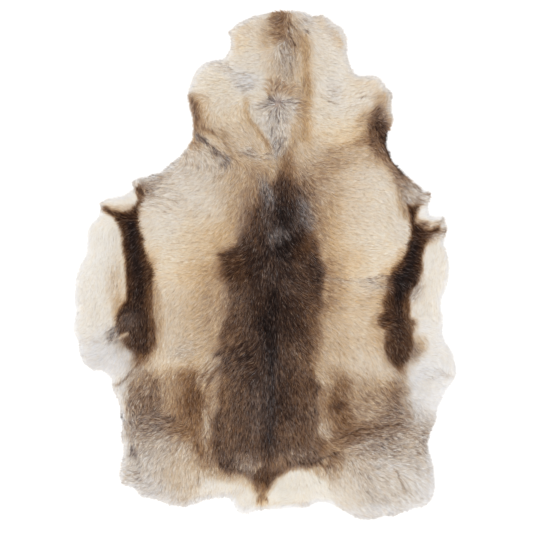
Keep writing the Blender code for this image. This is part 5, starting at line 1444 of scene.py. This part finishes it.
def evened(points, step):
    """A closed run of points laid out afresh at equal steps."""
    ring = np.vstack([points, points[:1]])
    run = np.concatenate([[0], np.cumsum(np.hypot(*np.diff(ring, axis=0).T))])
    count = int(run[-1] / step)
    at = np.linspace(0, run[-1], count, endpoint=False)
    return np.stack([np.interp(at, run, ring[:, 0]), np.interp(at, run, ring[:, 1])], 1)


def filled(outline, depth, margin, step, seed):
    """Triangles that fill an outline, in metres, with points about a step apart."""
    rng = np.random.default_rng(seed)
    low, high = outline.min(0), outline.max(0)
    rows = np.arange(low[1], high[1], step * 0.866)
    columns = np.arange(low[0], high[0], step)
    gx, gy = np.meshgrid(columns, rows)
    gx[1::2] += step / 2
    gx = gx + rng.uniform(-0.2, 0.2, gx.shape) * step
    gy = gy + rng.uniform(-0.2, 0.2, gy.shape) * step
    gx, gy = gx.ravel(), gy.ravel()
    keep = depth.at(*to_chart(gx, gy)) * UNIT > margin + 0.55 * step
    inner = np.stack([gx[keep], gy[keep]], 1)
    points = np.vstack([outline, inner])
    count = len(outline)
    rim = [(i, (i + 1) % count) for i in range(count)]
    places, _, faces, _, _, _ = delaunay_2d_cdt(
        [Vector((float(px), float(py))) for px, py in points], rim, [], 0, 1e-7
    )
    places = np.array([tuple(p) for p in places])
    faces = np.array(faces)
    middle = places[faces].mean(1)
    cx, cy = to_chart(middle[:, 0], middle[:, 1])
    ring = [tuple(to_chart(px, py)) for px, py in outline]
    near = depth.at(cx, cy) * UNIT < margin + step
    inside = ~near
    if near.any():
        inside[near] = from_segments(cx[near], cy[near], ring, True)[1]
    return places, faces[inside]


def mesh_object(name, places, faces, material, smooth=True):
    mesh = bpy.data.meshes.new(name)
    mesh.vertices.add(len(places))
    mesh.vertices.foreach_set("co", np.ascontiguousarray(places, np.float32).ravel())
    sizes = np.array([len(f) for f in faces]) if isinstance(faces, list) else np.full(len(faces), faces.shape[1])
    corners = np.concatenate([np.asarray(f) for f in faces]) if isinstance(faces, list) else faces.ravel()
    mesh.loops.add(len(corners))
    mesh.loops.foreach_set("vertex_index", corners.astype(np.int32))
    mesh.polygons.add(len(sizes))
    starts = np.concatenate([[0], np.cumsum(sizes)[:-1]]).astype(np.int32)
    mesh.polygons.foreach_set("loop_start", starts)
    mesh.polygons.foreach_set("use_smooth", np.full(len(sizes), smooth))
    mesh.update(calc_edges=True)
    mesh.validate()
    mesh.materials.append(material)
    piece = bpy.data.objects.new(name, mesh)
    bpy.context.scene.collection.objects.link(piece)
    return piece


def closed_sheet(name, outline, depth, margin, step, seed, bottom_z, top_z, material):
    """A closed sheet with a fine top and a bottom of the same outline."""
    places, faces = filled(outline, depth, margin, step, seed)
    count = len(places)
    low = np.column_stack([places, bottom_z(places)])
    high = np.column_stack([places, top_z(places)])
    turned = faces[:, ::-1]
    area = np.cross(
        places[faces[:, 1]] - places[faces[:, 0]], places[faces[:, 2]] - places[faces[:, 0]]
    )
    up = np.where((area > 0)[:, None], faces, turned)
    down = up[:, ::-1]
    # the rim joins the two along the edges that only one face has
    edges = np.vstack([up[:, [0, 1]], up[:, [1, 2]], up[:, [2, 0]]])
    keys = edges[:, 0].astype(np.int64) * count + edges[:, 1]
    back = edges[:, 1].astype(np.int64) * count + edges[:, 0]
    rim = edges[~np.isin(keys, back)]
    walls = np.vstack(
        [
            np.stack([rim[:, 0], rim[:, 0] + count, rim[:, 1]], 1),
            np.stack([rim[:, 1], rim[:, 0] + count, rim[:, 1] + count], 1),
        ]
    )
    return mesh_object(
        name,
        np.vstack([high, low]),
        np.vstack([up, down + count, walls]),
        material,
    )


# ---------------------------------------------------------------------------
# Materials
# ---------------------------------------------------------------------------


def linear(value):
    value = value / 255.0
    return value / 12.92 if value <= 0.04045 else ((value + 0.055) / 1.055) ** 2.4


def palette_ramps(tree, shade, warmth):
    """The coat's two runs of colour, one ashen and one warm, and the mix of them."""
    ramps = []
    for colours in (ASHEN, WARM):
        ramp = tree.nodes.new("ShaderNodeValToRGB")
        ramp.color_ramp.interpolation = "LINEAR"
        while len(ramp.color_ramp.elements) < len(colours):
            ramp.color_ramp.elements.new(0.5)
        for element, colour in zip(ramp.color_ramp.elements, colours):
            element.position = colour.light
            element.color = (linear(colour.r), linear(colour.g), linear(colour.b), 1)
        tree.links.new(shade, ramp.inputs["Fac"])
        ramps.append(ramp)
    mix = tree.nodes.new("ShaderNodeMix")
    mix.data_type = "RGBA"
    tree.links.new(warmth, mix.inputs["Factor"])
    tree.links.new(ramps[0].outputs["Color"], mix.inputs[6])
    tree.links.new(ramps[1].outputs["Color"], mix.inputs[7])
    return mix.outputs[2]


def fresh_material(name):
    material = bpy.data.materials.new(name)
    material.use_nodes = True
    tree = material.node_tree
    tree.nodes.clear()
    out = tree.nodes.new("ShaderNodeOutputMaterial")
    shader = tree.nodes.new("ShaderNodeBsdfPrincipled")
    tree.links.new(shader.outputs["BSDF"], out.inputs["Surface"])
    return material, tree, shader


def hair_material():
    """Guard hair: its colour is read off a small map, light across and warmth up."""
    material, tree, shader = fresh_material("guard_hair")
    place = tree.nodes.new("ShaderNodeUVMap")
    place.uv_map = "OFBake"
    parts = tree.nodes.new("ShaderNodeSeparateXYZ")
    tree.links.new(place.outputs["UV"], parts.inputs["Vector"])
    colour = palette_ramps(tree, parts.outputs["X"], parts.outputs["Y"])
    tree.links.new(colour, shader.inputs["Base Color"])
    shader.inputs["Roughness"].default_value = 0.7
    shader.inputs["Specular IOR Level"].default_value = 0.08
    return material


def wool_material():
    """The undercoat, fine and matt, as marked as the hair over it."""
    material, tree, shader = fresh_material("undercoat_wool")
    shade = tree.nodes.new("ShaderNodeAttribute")
    shade.attribute_name = "shade"
    warmth = tree.nodes.new("ShaderNodeAttribute")
    warmth.attribute_name = "warmth"
    place = tree.nodes.new("ShaderNodeTexCoord")
    grain = tree.nodes.new("ShaderNodeTexNoise")
    grain.inputs["Scale"].default_value = 900.0
    grain.inputs["Detail"].default_value = 3.0
    tree.links.new(place.outputs["Object"], grain.inputs["Vector"])
    shift = tree.nodes.new("ShaderNodeMapRange")
    shift.inputs["To Min"].default_value = -0.06
    shift.inputs["To Max"].default_value = 0.05
    tree.links.new(grain.outputs["Fac"], shift.inputs["Value"])
    add = tree.nodes.new("ShaderNodeMath")
    add.operation = "ADD"
    tree.links.new(shade.outputs["Fac"], add.inputs[0])
    tree.links.new(shift.outputs["Result"], add.inputs[1])
    colour = palette_ramps(tree, add.outputs["Value"], warmth.outputs["Fac"])
    tree.links.new(colour, shader.inputs["Base Color"])
    shader.inputs["Roughness"].default_value = 0.9
    shader.inputs["Specular IOR Level"].default_value = 0.1
    return material


def suede_material():
    """The flesh side: pale buff suede with faint veins and a soft nap."""
    material, tree, shader = fresh_material("flesh_side_suede")
    place = tree.nodes.new("ShaderNodeTexCoord")
    cloud = tree.nodes.new("ShaderNodeTexNoise")
    cloud.inputs["Scale"].default_value = 9.0
    cloud.inputs["Detail"].default_value = 6.0
    nap = tree.nodes.new("ShaderNodeTexNoise")
    nap.inputs["Scale"].default_value = 420.0
    nap.inputs["Detail"].default_value = 3.0
    veins = tree.nodes.new("ShaderNodeTexVoronoi")
    veins.feature = "DISTANCE_TO_EDGE"
    veins.inputs["Scale"].default_value = 11.0
    warp = tree.nodes.new("ShaderNodeMix")
    warp.data_type = "VECTOR"
    warp.inputs["Factor"].default_value = 0.12
    tree.links.new(place.outputs["Object"], warp.inputs[4])
    tree.links.new(cloud.outputs["Color"], warp.inputs[5])
    tree.links.new(warp.outputs[1], veins.inputs["Vector"])
    for node in (cloud, nap):
        tree.links.new(place.outputs["Object"], node.inputs["Vector"])
    tone = tree.nodes.new("ShaderNodeValToRGB")
    tone.color_ramp.elements[0].position = 0.3
    tone.color_ramp.elements[0].color = (0.62, 0.53, 0.41, 1)
    tone.color_ramp.elements[1].position = 0.72
    tone.color_ramp.elements[1].color = (0.79, 0.73, 0.62, 1)
    tree.links.new(cloud.outputs["Fac"], tone.inputs["Fac"])
    line = tree.nodes.new("ShaderNodeMapRange")
    line.inputs["From Max"].default_value = 0.07
    line.inputs["To Min"].default_value = 0.94
    line.inputs["To Max"].default_value = 1.0
    tree.links.new(veins.outputs["Distance"], line.inputs["Value"])
    fibre = tree.nodes.new("ShaderNodeMapRange")
    fibre.inputs["To Min"].default_value = 0.9
    fibre.inputs["To Max"].default_value = 1.06
    tree.links.new(nap.outputs["Fac"], fibre.inputs["Value"])
    both = tree.nodes.new("ShaderNodeMath")
    both.operation = "MULTIPLY"
    tree.links.new(line.outputs["Result"], both.inputs[0])
    tree.links.new(fibre.outputs["Result"], both.inputs[1])
    scale = tree.nodes.new("ShaderNodeVectorMath")
    scale.operation = "SCALE"
    tree.links.new(tone.outputs["Color"], scale.inputs[0])
    tree.links.new(both.outputs["Value"], scale.inputs["Scale"])
    tree.links.new(scale.outputs["Vector"], shader.inputs["Base Color"])
    bump = tree.nodes.new("ShaderNodeBump")
    bump.inputs["Strength"].default_value = 0.35
    bump.inputs["Distance"].default_value = 0.0006
    tree.links.new(nap.outputs["Fac"], bump.inputs["Height"])
    tree.links.new(bump.outputs["Normal"], shader.inputs["Normal"])
    shader.inputs["Roughness"].default_value = 0.88
    shader.inputs["Specular IOR Level"].default_value = 0.2
    return material


# ---------------------------------------------------------------------------
# The coat
# ---------------------------------------------------------------------------


def lock_centres(x, y, size, seed):
    """The centre of the lock that each hair belongs to, and the lock's number."""
    rng = np.random.default_rng(seed)
    count = int(CHART_SIZE / size) + 4
    jitter = rng.uniform(0.1, 0.9, (count, count, 2))
    i = np.floor(x / size).astype(int)
    j = np.floor(y / size).astype(int)
    best = np.full(x.shape, 1e9)
    cx, cy = np.zeros(x.shape), np.zeros(x.shape)
    number = np.zeros(x.shape, int)
    for dj in (-1, 0, 1):
        for di in (-1, 0, 1):
            a = np.clip(i + di + 1, 0, count - 1)
            b = np.clip(j + dj + 1, 0, count - 1)
            px = (i + di + jitter[b, a, 0]) * size
            py = (j + dj + jitter[b, a, 1]) * size
            away = np.hypot(x - px, y - py)
            nearer = away < best
            best = np.where(nearer, away, best)
            cx, cy = np.where(nearer, px, cx), np.where(nearer, py, cy)
            number = np.where(nearer, b * count + a, number)
    return cx, cy, number


def scattered(number, seed):
    """One random value from a normal spread for each lock's number."""
    rng = np.random.default_rng(seed)
    table = rng.normal(0.0, 1.0, int(number.max()) + 1)
    return np.clip(table[number], -2.2, 2.2)


def turned(direction, angle):
    c, s = np.cos(angle), np.sin(angle)
    return np.stack(
        [direction[:, 0] * c - direction[:, 1] * s, direction[:, 0] * s + direction[:, 1] * c], 1
    )


def held_in(root, direction, length, depth, room):
    """The lengths, in chart units, cut so that no tip goes further out than its room."""
    length = length.copy()
    for _ in range(9):
        tip = root + direction * length[:, None]
        over = depth.at(tip[:, 0], tip[:, 1]) < -room
        if not over.any():
            break
        length[over] *= 0.84
    return length


def grow_hairs(low, high, depth, lie, coat):
    """Every hair of the coat as numbers: where it roots, lies and ends, and its tone."""
    rng = np.random.default_rng(4051)
    slope_y, slope_x = np.gradient(depth.values)
    outward = Field(-np.stack([slope_x, slope_y], -1), 1.0)

    # an even scatter over the hide, denser than needed, then thinned by the rim
    spacing = math.sqrt(float((depth.values > 0).sum()) / HAIRS)
    ticks = np.arange(0.0, CHART_SIZE, spacing)
    gx, gy = np.meshgrid(ticks, ticks)
    x = (gx + rng.uniform(0, spacing, gx.shape)).ravel()
    y = (gy + rng.uniform(0, spacing, gy.shape)).ravel()
    inside = depth.at(x, y) > 0.6
    x, y = x[inside], y[inside]
    flow = lie.at(x, y)
    out = outward.at(x, y)
    leaves = np.clip(np.sum(flow * out, 1), 0, 1)
    keep = depth.at(x, y) > 0.6 + 1.9 * leaves
    x, y = x[keep], y[keep]
    body = np.ones(len(x))

    # the rim's own short fuzz
    tries = rng.uniform(0, CHART_SIZE, (FUZZ * 60, 2))
    deep = depth.at(tries[:, 0], tries[:, 1])
    tries = tries[(deep > 0.3) & (deep < 2.6)][:FUZZ]
    x, y = np.concatenate([x, tries[:, 0]]), np.concatenate([y, tries[:, 1]])
    body = np.concatenate([body, np.zeros(len(tries))])

    # tufts that stand out past the outline
    stands, heading, shade = np.zeros((3, len(x)))
    for tuft in TUFTS:
        spot = np.array([tuft.x, tuft.y]) + rng.normal(0, 0.5, (tuft.count * 3, 2)) * tuft.spread
        spot = spot[depth.at(spot[:, 0], spot[:, 1]) > 0.2][: tuft.count]
        n = len(spot)
        x, y = np.concatenate([x, spot[:, 0]]), np.concatenate([y, spot[:, 1]])
        body = np.concatenate([body, np.zeros(n)])
        stands = np.concatenate([stands, tuft.length * rng.uniform(0.5, 1.1, n)])
        heading = np.concatenate([heading, np.radians(rng.normal(tuft.heading, tuft.fan, n))])
        shade = np.concatenate([shade, tuft.shade * rng.uniform(0, 2, n)])
    body = body > 0.5
    count = len(x)

    flow = lie.at(x, y)
    out = outward.at(x, y)
    flow = np.where(body[:, None], flow, 0.55 * flow + 0.9 * out)
    tufted = stands > 0
    flow = np.where(tufted[:, None], np.stack([np.cos(heading), np.sin(heading)], 1), flow)
    flow /= np.maximum(np.hypot(flow[:, 0], flow[:, 1]), 1e-9)[:, None]

    cx, cy, number = lock_centres(x, y, LOCK, 21)
    _, _, great = lock_centres(x, y, LOCK * 2.7, 22)
    wander = 10.0 * lattice_noise(x, y, 15.0, 31) + 6.0 * lattice_noise(x, y, 5.0, 32)
    rough = coat.at(x, y)[:, 2] / 0.05
    wander += (3.0 + 6.5 * rough) * scattered(number, 33) + (4.0 + 5.0 * rough) * scattered(great, 34)
    direction = turned(flow, np.radians(wander + rng.normal(0, 6.5, count)))
    lead = turned(flow, np.radians(wander))

    length = HAIR_LENGTH / UNIT * (1.0 + 0.13 * rng.normal(0, 1, count).clip(-2, 2))
    length *= 1.0 + 0.10 * scattered(number, 35)
    length *= np.where(body, 1.0, rng.uniform(0.3, 0.85, count))
    root = np.stack([x, y], 1)
    tuft = np.exp(0.6 * scattered(number, 36) + 0.5 * scattered(great, 37))
    tuft = tuft * np.exp(0.9 * lattice_noise(x, y, 9.0, 38))
    room = tuft * np.where(body, rng.exponential(0.8, count), rng.exponential(2.2, count))
    room = np.where(tufted, 0.8 * stands, room.clip(0, 4.8))
    length = np.where(tufted, stands, length)
    length = held_in(root, direction, length, depth, room)

    own = root + direction * length[:, None]
    together = np.stack([cx, cy], 1) + lead * length[:, None]
    pull = np.where(body, rng.uniform(0.05, 0.55, count), 0.15)[:, None]
    tip = own + (together - own) * pull
    inside_enough = depth.at(tip[:, 0], tip[:, 1]) > -room - 0.5
    tip = np.where(inside_enough[:, None], tip, own)
    middle = root + (tip - root) * 0.5 + (own - tip) * 0.12

    # the tone comes from where the hair shows, and is one tone for a strand
    sx, sy, strand = lock_centres(x, y, STRAND, 23)
    seen = np.stack([sx, sy], 1) + lead * (0.72 * length)[:, None]
    seen = np.where(body[:, None], seen, root + (tip - root) * 0.72)
    light, warm, grain = coat.at(seen[:, 0], seen[:, 1]).T
    broad = 0.75 - 0.4 * ease((0.42 - light) / 0.15)
    speckle = 1.15 * scattered(strand, 40)
    speckle += broad * (0.32 * scattered(number, 41) + 0.2 * scattered(great, 42))
    single = rng.normal(0, 1, count).clip(-2.3, 2.3)
    light = light + grain * (1.5 * speckle + (0.7 + 14.0 * grain) * single) - shade
    # here and there a dark strand runs through the pale, rough parts
    guard = ease((scattered(strand, 45) - 1.1) / 0.6) * rng.uniform(0.5, 1.0, count)
    guard *= ease((light - 0.5) / 0.2) * (grain / 0.05).clip(0, 1)
    light = light - 0.24 * guard
    # painted sheen: here and there a hair that lies over the dark ones is lightened, cooled and lifted, partly silver
    # hair and partly sheen painted into its colour
    silver_sheen = (rng.uniform(0, 1, count) < 0.12) * rng.uniform(0.3, 1.0, count)
    silver_sheen *= ease((0.46 - light) / 0.2)
    light = light + silver_sheen * 0.26
    warm = warm - silver_sheen * 0.25
    warm = warm + 0.05 * scattered(number, 43) + 0.07 * rng.normal(0, 1, count)

    bottom = low.at(x, y) + SKIN
    top = high.at(x, y)
    wool = bottom + WOOL * (top - bottom)
    mid_top = high.at(middle[:, 0], middle[:, 1])
    mid_low = low.at(middle[:, 0], middle[:, 1]) + SKIN
    tip_top = high.at(tip[:, 0], tip[:, 1])
    past = np.clip(-depth.at(tip[:, 0], tip[:, 1]), 0, 6)
    lift = 0.0006 * scattered(number, 51) + 0.0005 * rng.normal(0, 1, count).clip(-2, 2)
    lift *= (0.55 + grain / 0.05).clip(0, 1)
    z0 = wool - np.minimum(ROOT_DEPTH, 0.5 * (wool - bottom))
    z1 = mid_low + (0.84 + 0.05 * rng.normal(0, 1, count).clip(-2, 2)) * (mid_top - mid_low)
    z2 = tip_top + lift - past * 0.0007 - 0.0006
    z1 = np.where(body, z1 + 0.5 * lift, mid_low + rng.uniform(0.1, 0.8, count) * (mid_top - mid_low))
    z2 = z2 + silver_sheen * 0.0012 + guard * 0.001
    z2 = np.where(body, z2, mid_low + rng.uniform(0.0, 0.9, count) * (mid_top - mid_low))
    z2 = np.maximum(z2, 0.0006)
    z1 = np.maximum(z1, 0.0008)
    return root, middle, tip, z0, z1, z2, light, warm, grain, body


def hair_pieces(low, high, depth, lie, coat, material):
    """The coat as joined blades, three triangles a hair, parted into even shares."""
    root, middle, tip, z0, z1, z2, light, warm, grain, body = grow_hairs(
        low, high, depth, lie, coat
    )
    rng = np.random.default_rng(977)
    count = len(root)

    def place(point, z):
        px, py = to_metres(point[:, 0], point[:, 1])
        return np.column_stack([px, py, z])

    a, b, c = place(root, z0), place(middle, z1), place(tip, z2)
    along = c - a
    side = np.column_stack([along[:, 1], -along[:, 0], np.zeros(count)])
    side /= np.maximum(np.hypot(side[:, 0], side[:, 1]), 1e-9)[:, None]
    roll = rng.normal(0, math.radians(14), count).clip(-0.8, 0.8) * (0.22 + grain / 0.05).clip(0, 1)
    across = side * np.cos(roll)[:, None]
    across[:, 2] = np.sin(roll)
    width = HAIR_WIDTH * (1.0 + 0.2 * rng.normal(0, 1, count).clip(-2, 2))
    width = np.where(body, width, 0.65 * width)[:, None]
    verts = np.stack(
        [
            a - across * width * 0.5,
            a + across * width * 0.5,
            b + across * width * 0.42,
            b - across * width * 0.42,
            c,
        ],
        1,
    )
    root_light = light - 0.02 - 0.9 * grain
    u = np.stack([root_light, root_light, light, light, light + 0.015], 1)
    v = np.stack([warm + 0.04, warm + 0.045, warm + 0.003, warm - 0.003, warm], 1)
    u, v = u.clip(0.02, 0.985), v.clip(0.02, 0.98)
    v[:, 1] = np.where(np.abs(v[:, 1] - v[:, 0]) < 0.003, v[:, 0] - 0.004, v[:, 1])
    v[:, 2] = np.where(np.abs(v[:, 2] - v[:, 3]) < 0.003, v[:, 3] - 0.004, v[:, 2])

    share = rng.permutation(count) % HAIR_PIECES
    pieces = []
    for k in range(HAIR_PIECES):
        mine = share == k
        n = int(mine.sum())
        mesh = bpy.data.meshes.new(f"guard_hair_{k + 1}")
        mesh.vertices.add(n * 5)
        mesh.vertices.foreach_set("co", verts[mine].astype(np.float32).ravel())
        first = (np.arange(n) * 5)[:, None]
        quads = first + np.array([0, 1, 2, 3])
        tips = first + np.array([3, 2, 4])
        corners = np.concatenate([quads, tips], 1).ravel().astype(np.int32)
        mesh.loops.add(n * 7)
        mesh.loops.foreach_set("vertex_index", corners)
        mesh.polygons.add(n * 2)
        starts = (np.arange(n) * 7)[:, None] + np.array([0, 4])
        mesh.polygons.foreach_set("loop_start", starts.ravel().astype(np.int32))
        mesh.polygons.foreach_set("use_smooth", np.ones(n * 2, bool))
        mesh.update(calc_edges=True)
        uv = mesh.uv_layers.new(name="OFBake")
        flat = np.stack([u[mine].ravel(), v[mine].ravel()], 1)
        uv.uv.foreach_set("vector", flat[corners].astype(np.float32).ravel())
        mesh.materials.append(material)
        piece = bpy.data.objects.new(mesh.name, mesh)
        bpy.context.scene.collection.objects.link(piece)
        pieces.append(piece)
    return pieces


def wool_piece(outline, low, high, depth, coat, material):
    """The undercoat: a dense woolly surface under the hair, closed over the skin."""

    def bottom_z(places):
        cx, cy = to_chart(places[:, 0], places[:, 1])
        return low.at(cx, cy) + 0.6 * SKIN

    def top_z(places):
        cx, cy = to_chart(places[:, 0], places[:, 1])
        floor = low.at(cx, cy) + SKIN
        share = WOOL * ease((depth.at(cx, cy) - WOOL_INSET + 0.8) / 5.0)
        relief = 0.0008 * lattice_noise(cx, cy, 3.3, 61) + 0.0005 * lattice_noise(cx, cy, 1.9, 62)
        return floor + share * (high.at(cx, cy) - floor) + relief * share / WOOL

    ring = evened(inward(outline, WOOL_INSET * UNIT), WOOL_STEP)
    piece = closed_sheet(
        "undercoat", ring, depth, WOOL_INSET * UNIT, WOOL_STEP, 71, bottom_z, top_z, material
    )
    mesh = piece.data
    places = np.zeros(len(mesh.vertices) * 3)
    mesh.vertices.foreach_get("co", places)
    places = places.reshape(-1, 3)
    cx, cy = to_chart(places[:, 0], places[:, 1])
    light, warm, grain = coat.at(cx, cy).T
    light = light - 0.03 - 1.4 * grain + grain * 1.5 * lattice_noise(cx, cy, 2.5, 63)
    for name, values in (("shade", light), ("warmth", warm)):
        attribute = mesh.attributes.new(name, "FLOAT", "POINT")
        attribute.data.foreach_set("value", values.clip(0.03, 0.97).astype(np.float32))
    return piece


def skin_piece(outline, low, depth, material):
    """The leather: a thin sheet with a slightly uneven cut edge."""

    def waver(places):
        return 0.00025 * lattice_noise(places[:, 0] / UNIT, places[:, 1] / UNIT, 9.0, 64)

    def bottom_z(places):
        cx, cy = to_chart(places[:, 0], places[:, 1])
        return low.at(cx, cy).clip(0, None)

    def top_z(places):
        return bottom_z(places) + SKIN + waver(places)

    ring = evened(inward(outline, SKIN_INSET * UNIT), 0.006)
    return closed_sheet(
        "skin", ring, depth, SKIN_INSET * UNIT, SKIN_STEP, 72, bottom_z, top_z, material
    )


# ---------------------------------------------------------------------------
# The studio
# ---------------------------------------------------------------------------


def studio():
    scene = bpy.context.scene
    scene.view_settings.view_transform = "Standard"
    scene.view_settings.look = "None"
    scene.view_settings.exposure = 0.0
    scene.view_settings.gamma = 1.0

    world = bpy.data.worlds.new("studio")
    scene.world = world
    world.use_nodes = True
    background = world.node_tree.nodes["Background"]
    background.inputs["Color"].default_value = (1.0, 1.0, 1.0, 1)
    background.inputs["Strength"].default_value = WORLD_LIGHT

    for name, strength, angle, tilt, turn in LAMPS:
        data = bpy.data.lights.new(name, "SUN")
        data.energy = strength
        data.angle = math.radians(angle)
        lamp = bpy.data.objects.new(name, data)
        lamp.rotation_euler = (math.radians(tilt), 0, math.radians(turn))
        scene.collection.objects.link(lamp)

    # the floor hides nothing from below, and lets the room's light reach both sides
    mesh = bpy.data.meshes.new("floor")
    size, drop = 6.0, -0.0004
    mesh.from_pydata(
        [(-size, -size, drop), (size, -size, drop), (size, size, drop), (-size, size, drop)],
        [],
        [(0, 1, 2, 3)],
    )
    floor = bpy.data.objects.new("floor", mesh)
    floor.visible_diffuse = False
    scene.collection.objects.link(floor)
    material = bpy.data.materials.new("pale_floor")
    material.use_nodes = True
    tree = material.node_tree
    tree.nodes.clear()
    out = tree.nodes.new("ShaderNodeOutputMaterial")
    paint = tree.nodes.new("ShaderNodeBsdfDiffuse")
    paint.inputs["Color"].default_value = (0.96, 0.96, 0.96, 1)
    clear = tree.nodes.new("ShaderNodeBsdfTransparent")
    mix = tree.nodes.new("ShaderNodeMixShader")
    side = tree.nodes.new("ShaderNodeNewGeometry")
    path = tree.nodes.new("ShaderNodeLightPath")
    either = tree.nodes.new("ShaderNodeMath")
    either.operation = "MAXIMUM"
    tree.links.new(side.outputs["Backfacing"], either.inputs[0])
    tree.links.new(path.outputs["Is Shadow Ray"], either.inputs[1])
    tree.links.new(either.outputs["Value"], mix.inputs["Fac"])
    tree.links.new(paint.outputs["BSDF"], mix.inputs[1])
    tree.links.new(clear.outputs["BSDF"], mix.inputs[2])
    tree.links.new(mix.outputs["Shader"], out.inputs["Surface"])
    floor.data.materials.append(material)

    lens, sensor, across = 85.0, 36.0, CHART_SIZE * UNIT
    data = bpy.data.cameras.new("camera")
    data.lens, data.sensor_width = lens, sensor
    camera = bpy.data.objects.new("camera", data)
    cx, cy = to_metres(CHART_SIZE / 2, CHART_SIZE / 2)
    camera.location = (cx, cy, 0.016 + across * lens / sensor)
    scene.collection.objects.link(camera)
    scene.camera = camera


# ---------------------------------------------------------------------------
# Putting it together
# ---------------------------------------------------------------------------

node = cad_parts["hide"]
outline = frame_outline(node)
low, high = frame_heights(node)
depth = depth_field(outline)
lie = lie_field()
coat = coat_field(CHART_STEP, lie, depth)

suede, wool, hair = suede_material(), wool_material(), hair_material()
skin = skin_piece(outline, low, depth, suede)
undercoat = wool_piece(outline, low, high, depth, coat, wool)
hairs = hair_pieces(low, high, depth, lie, coat, hair)

for piece in [skin, undercoat] + hairs:
    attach(piece, "root")
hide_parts("hide")
studio()
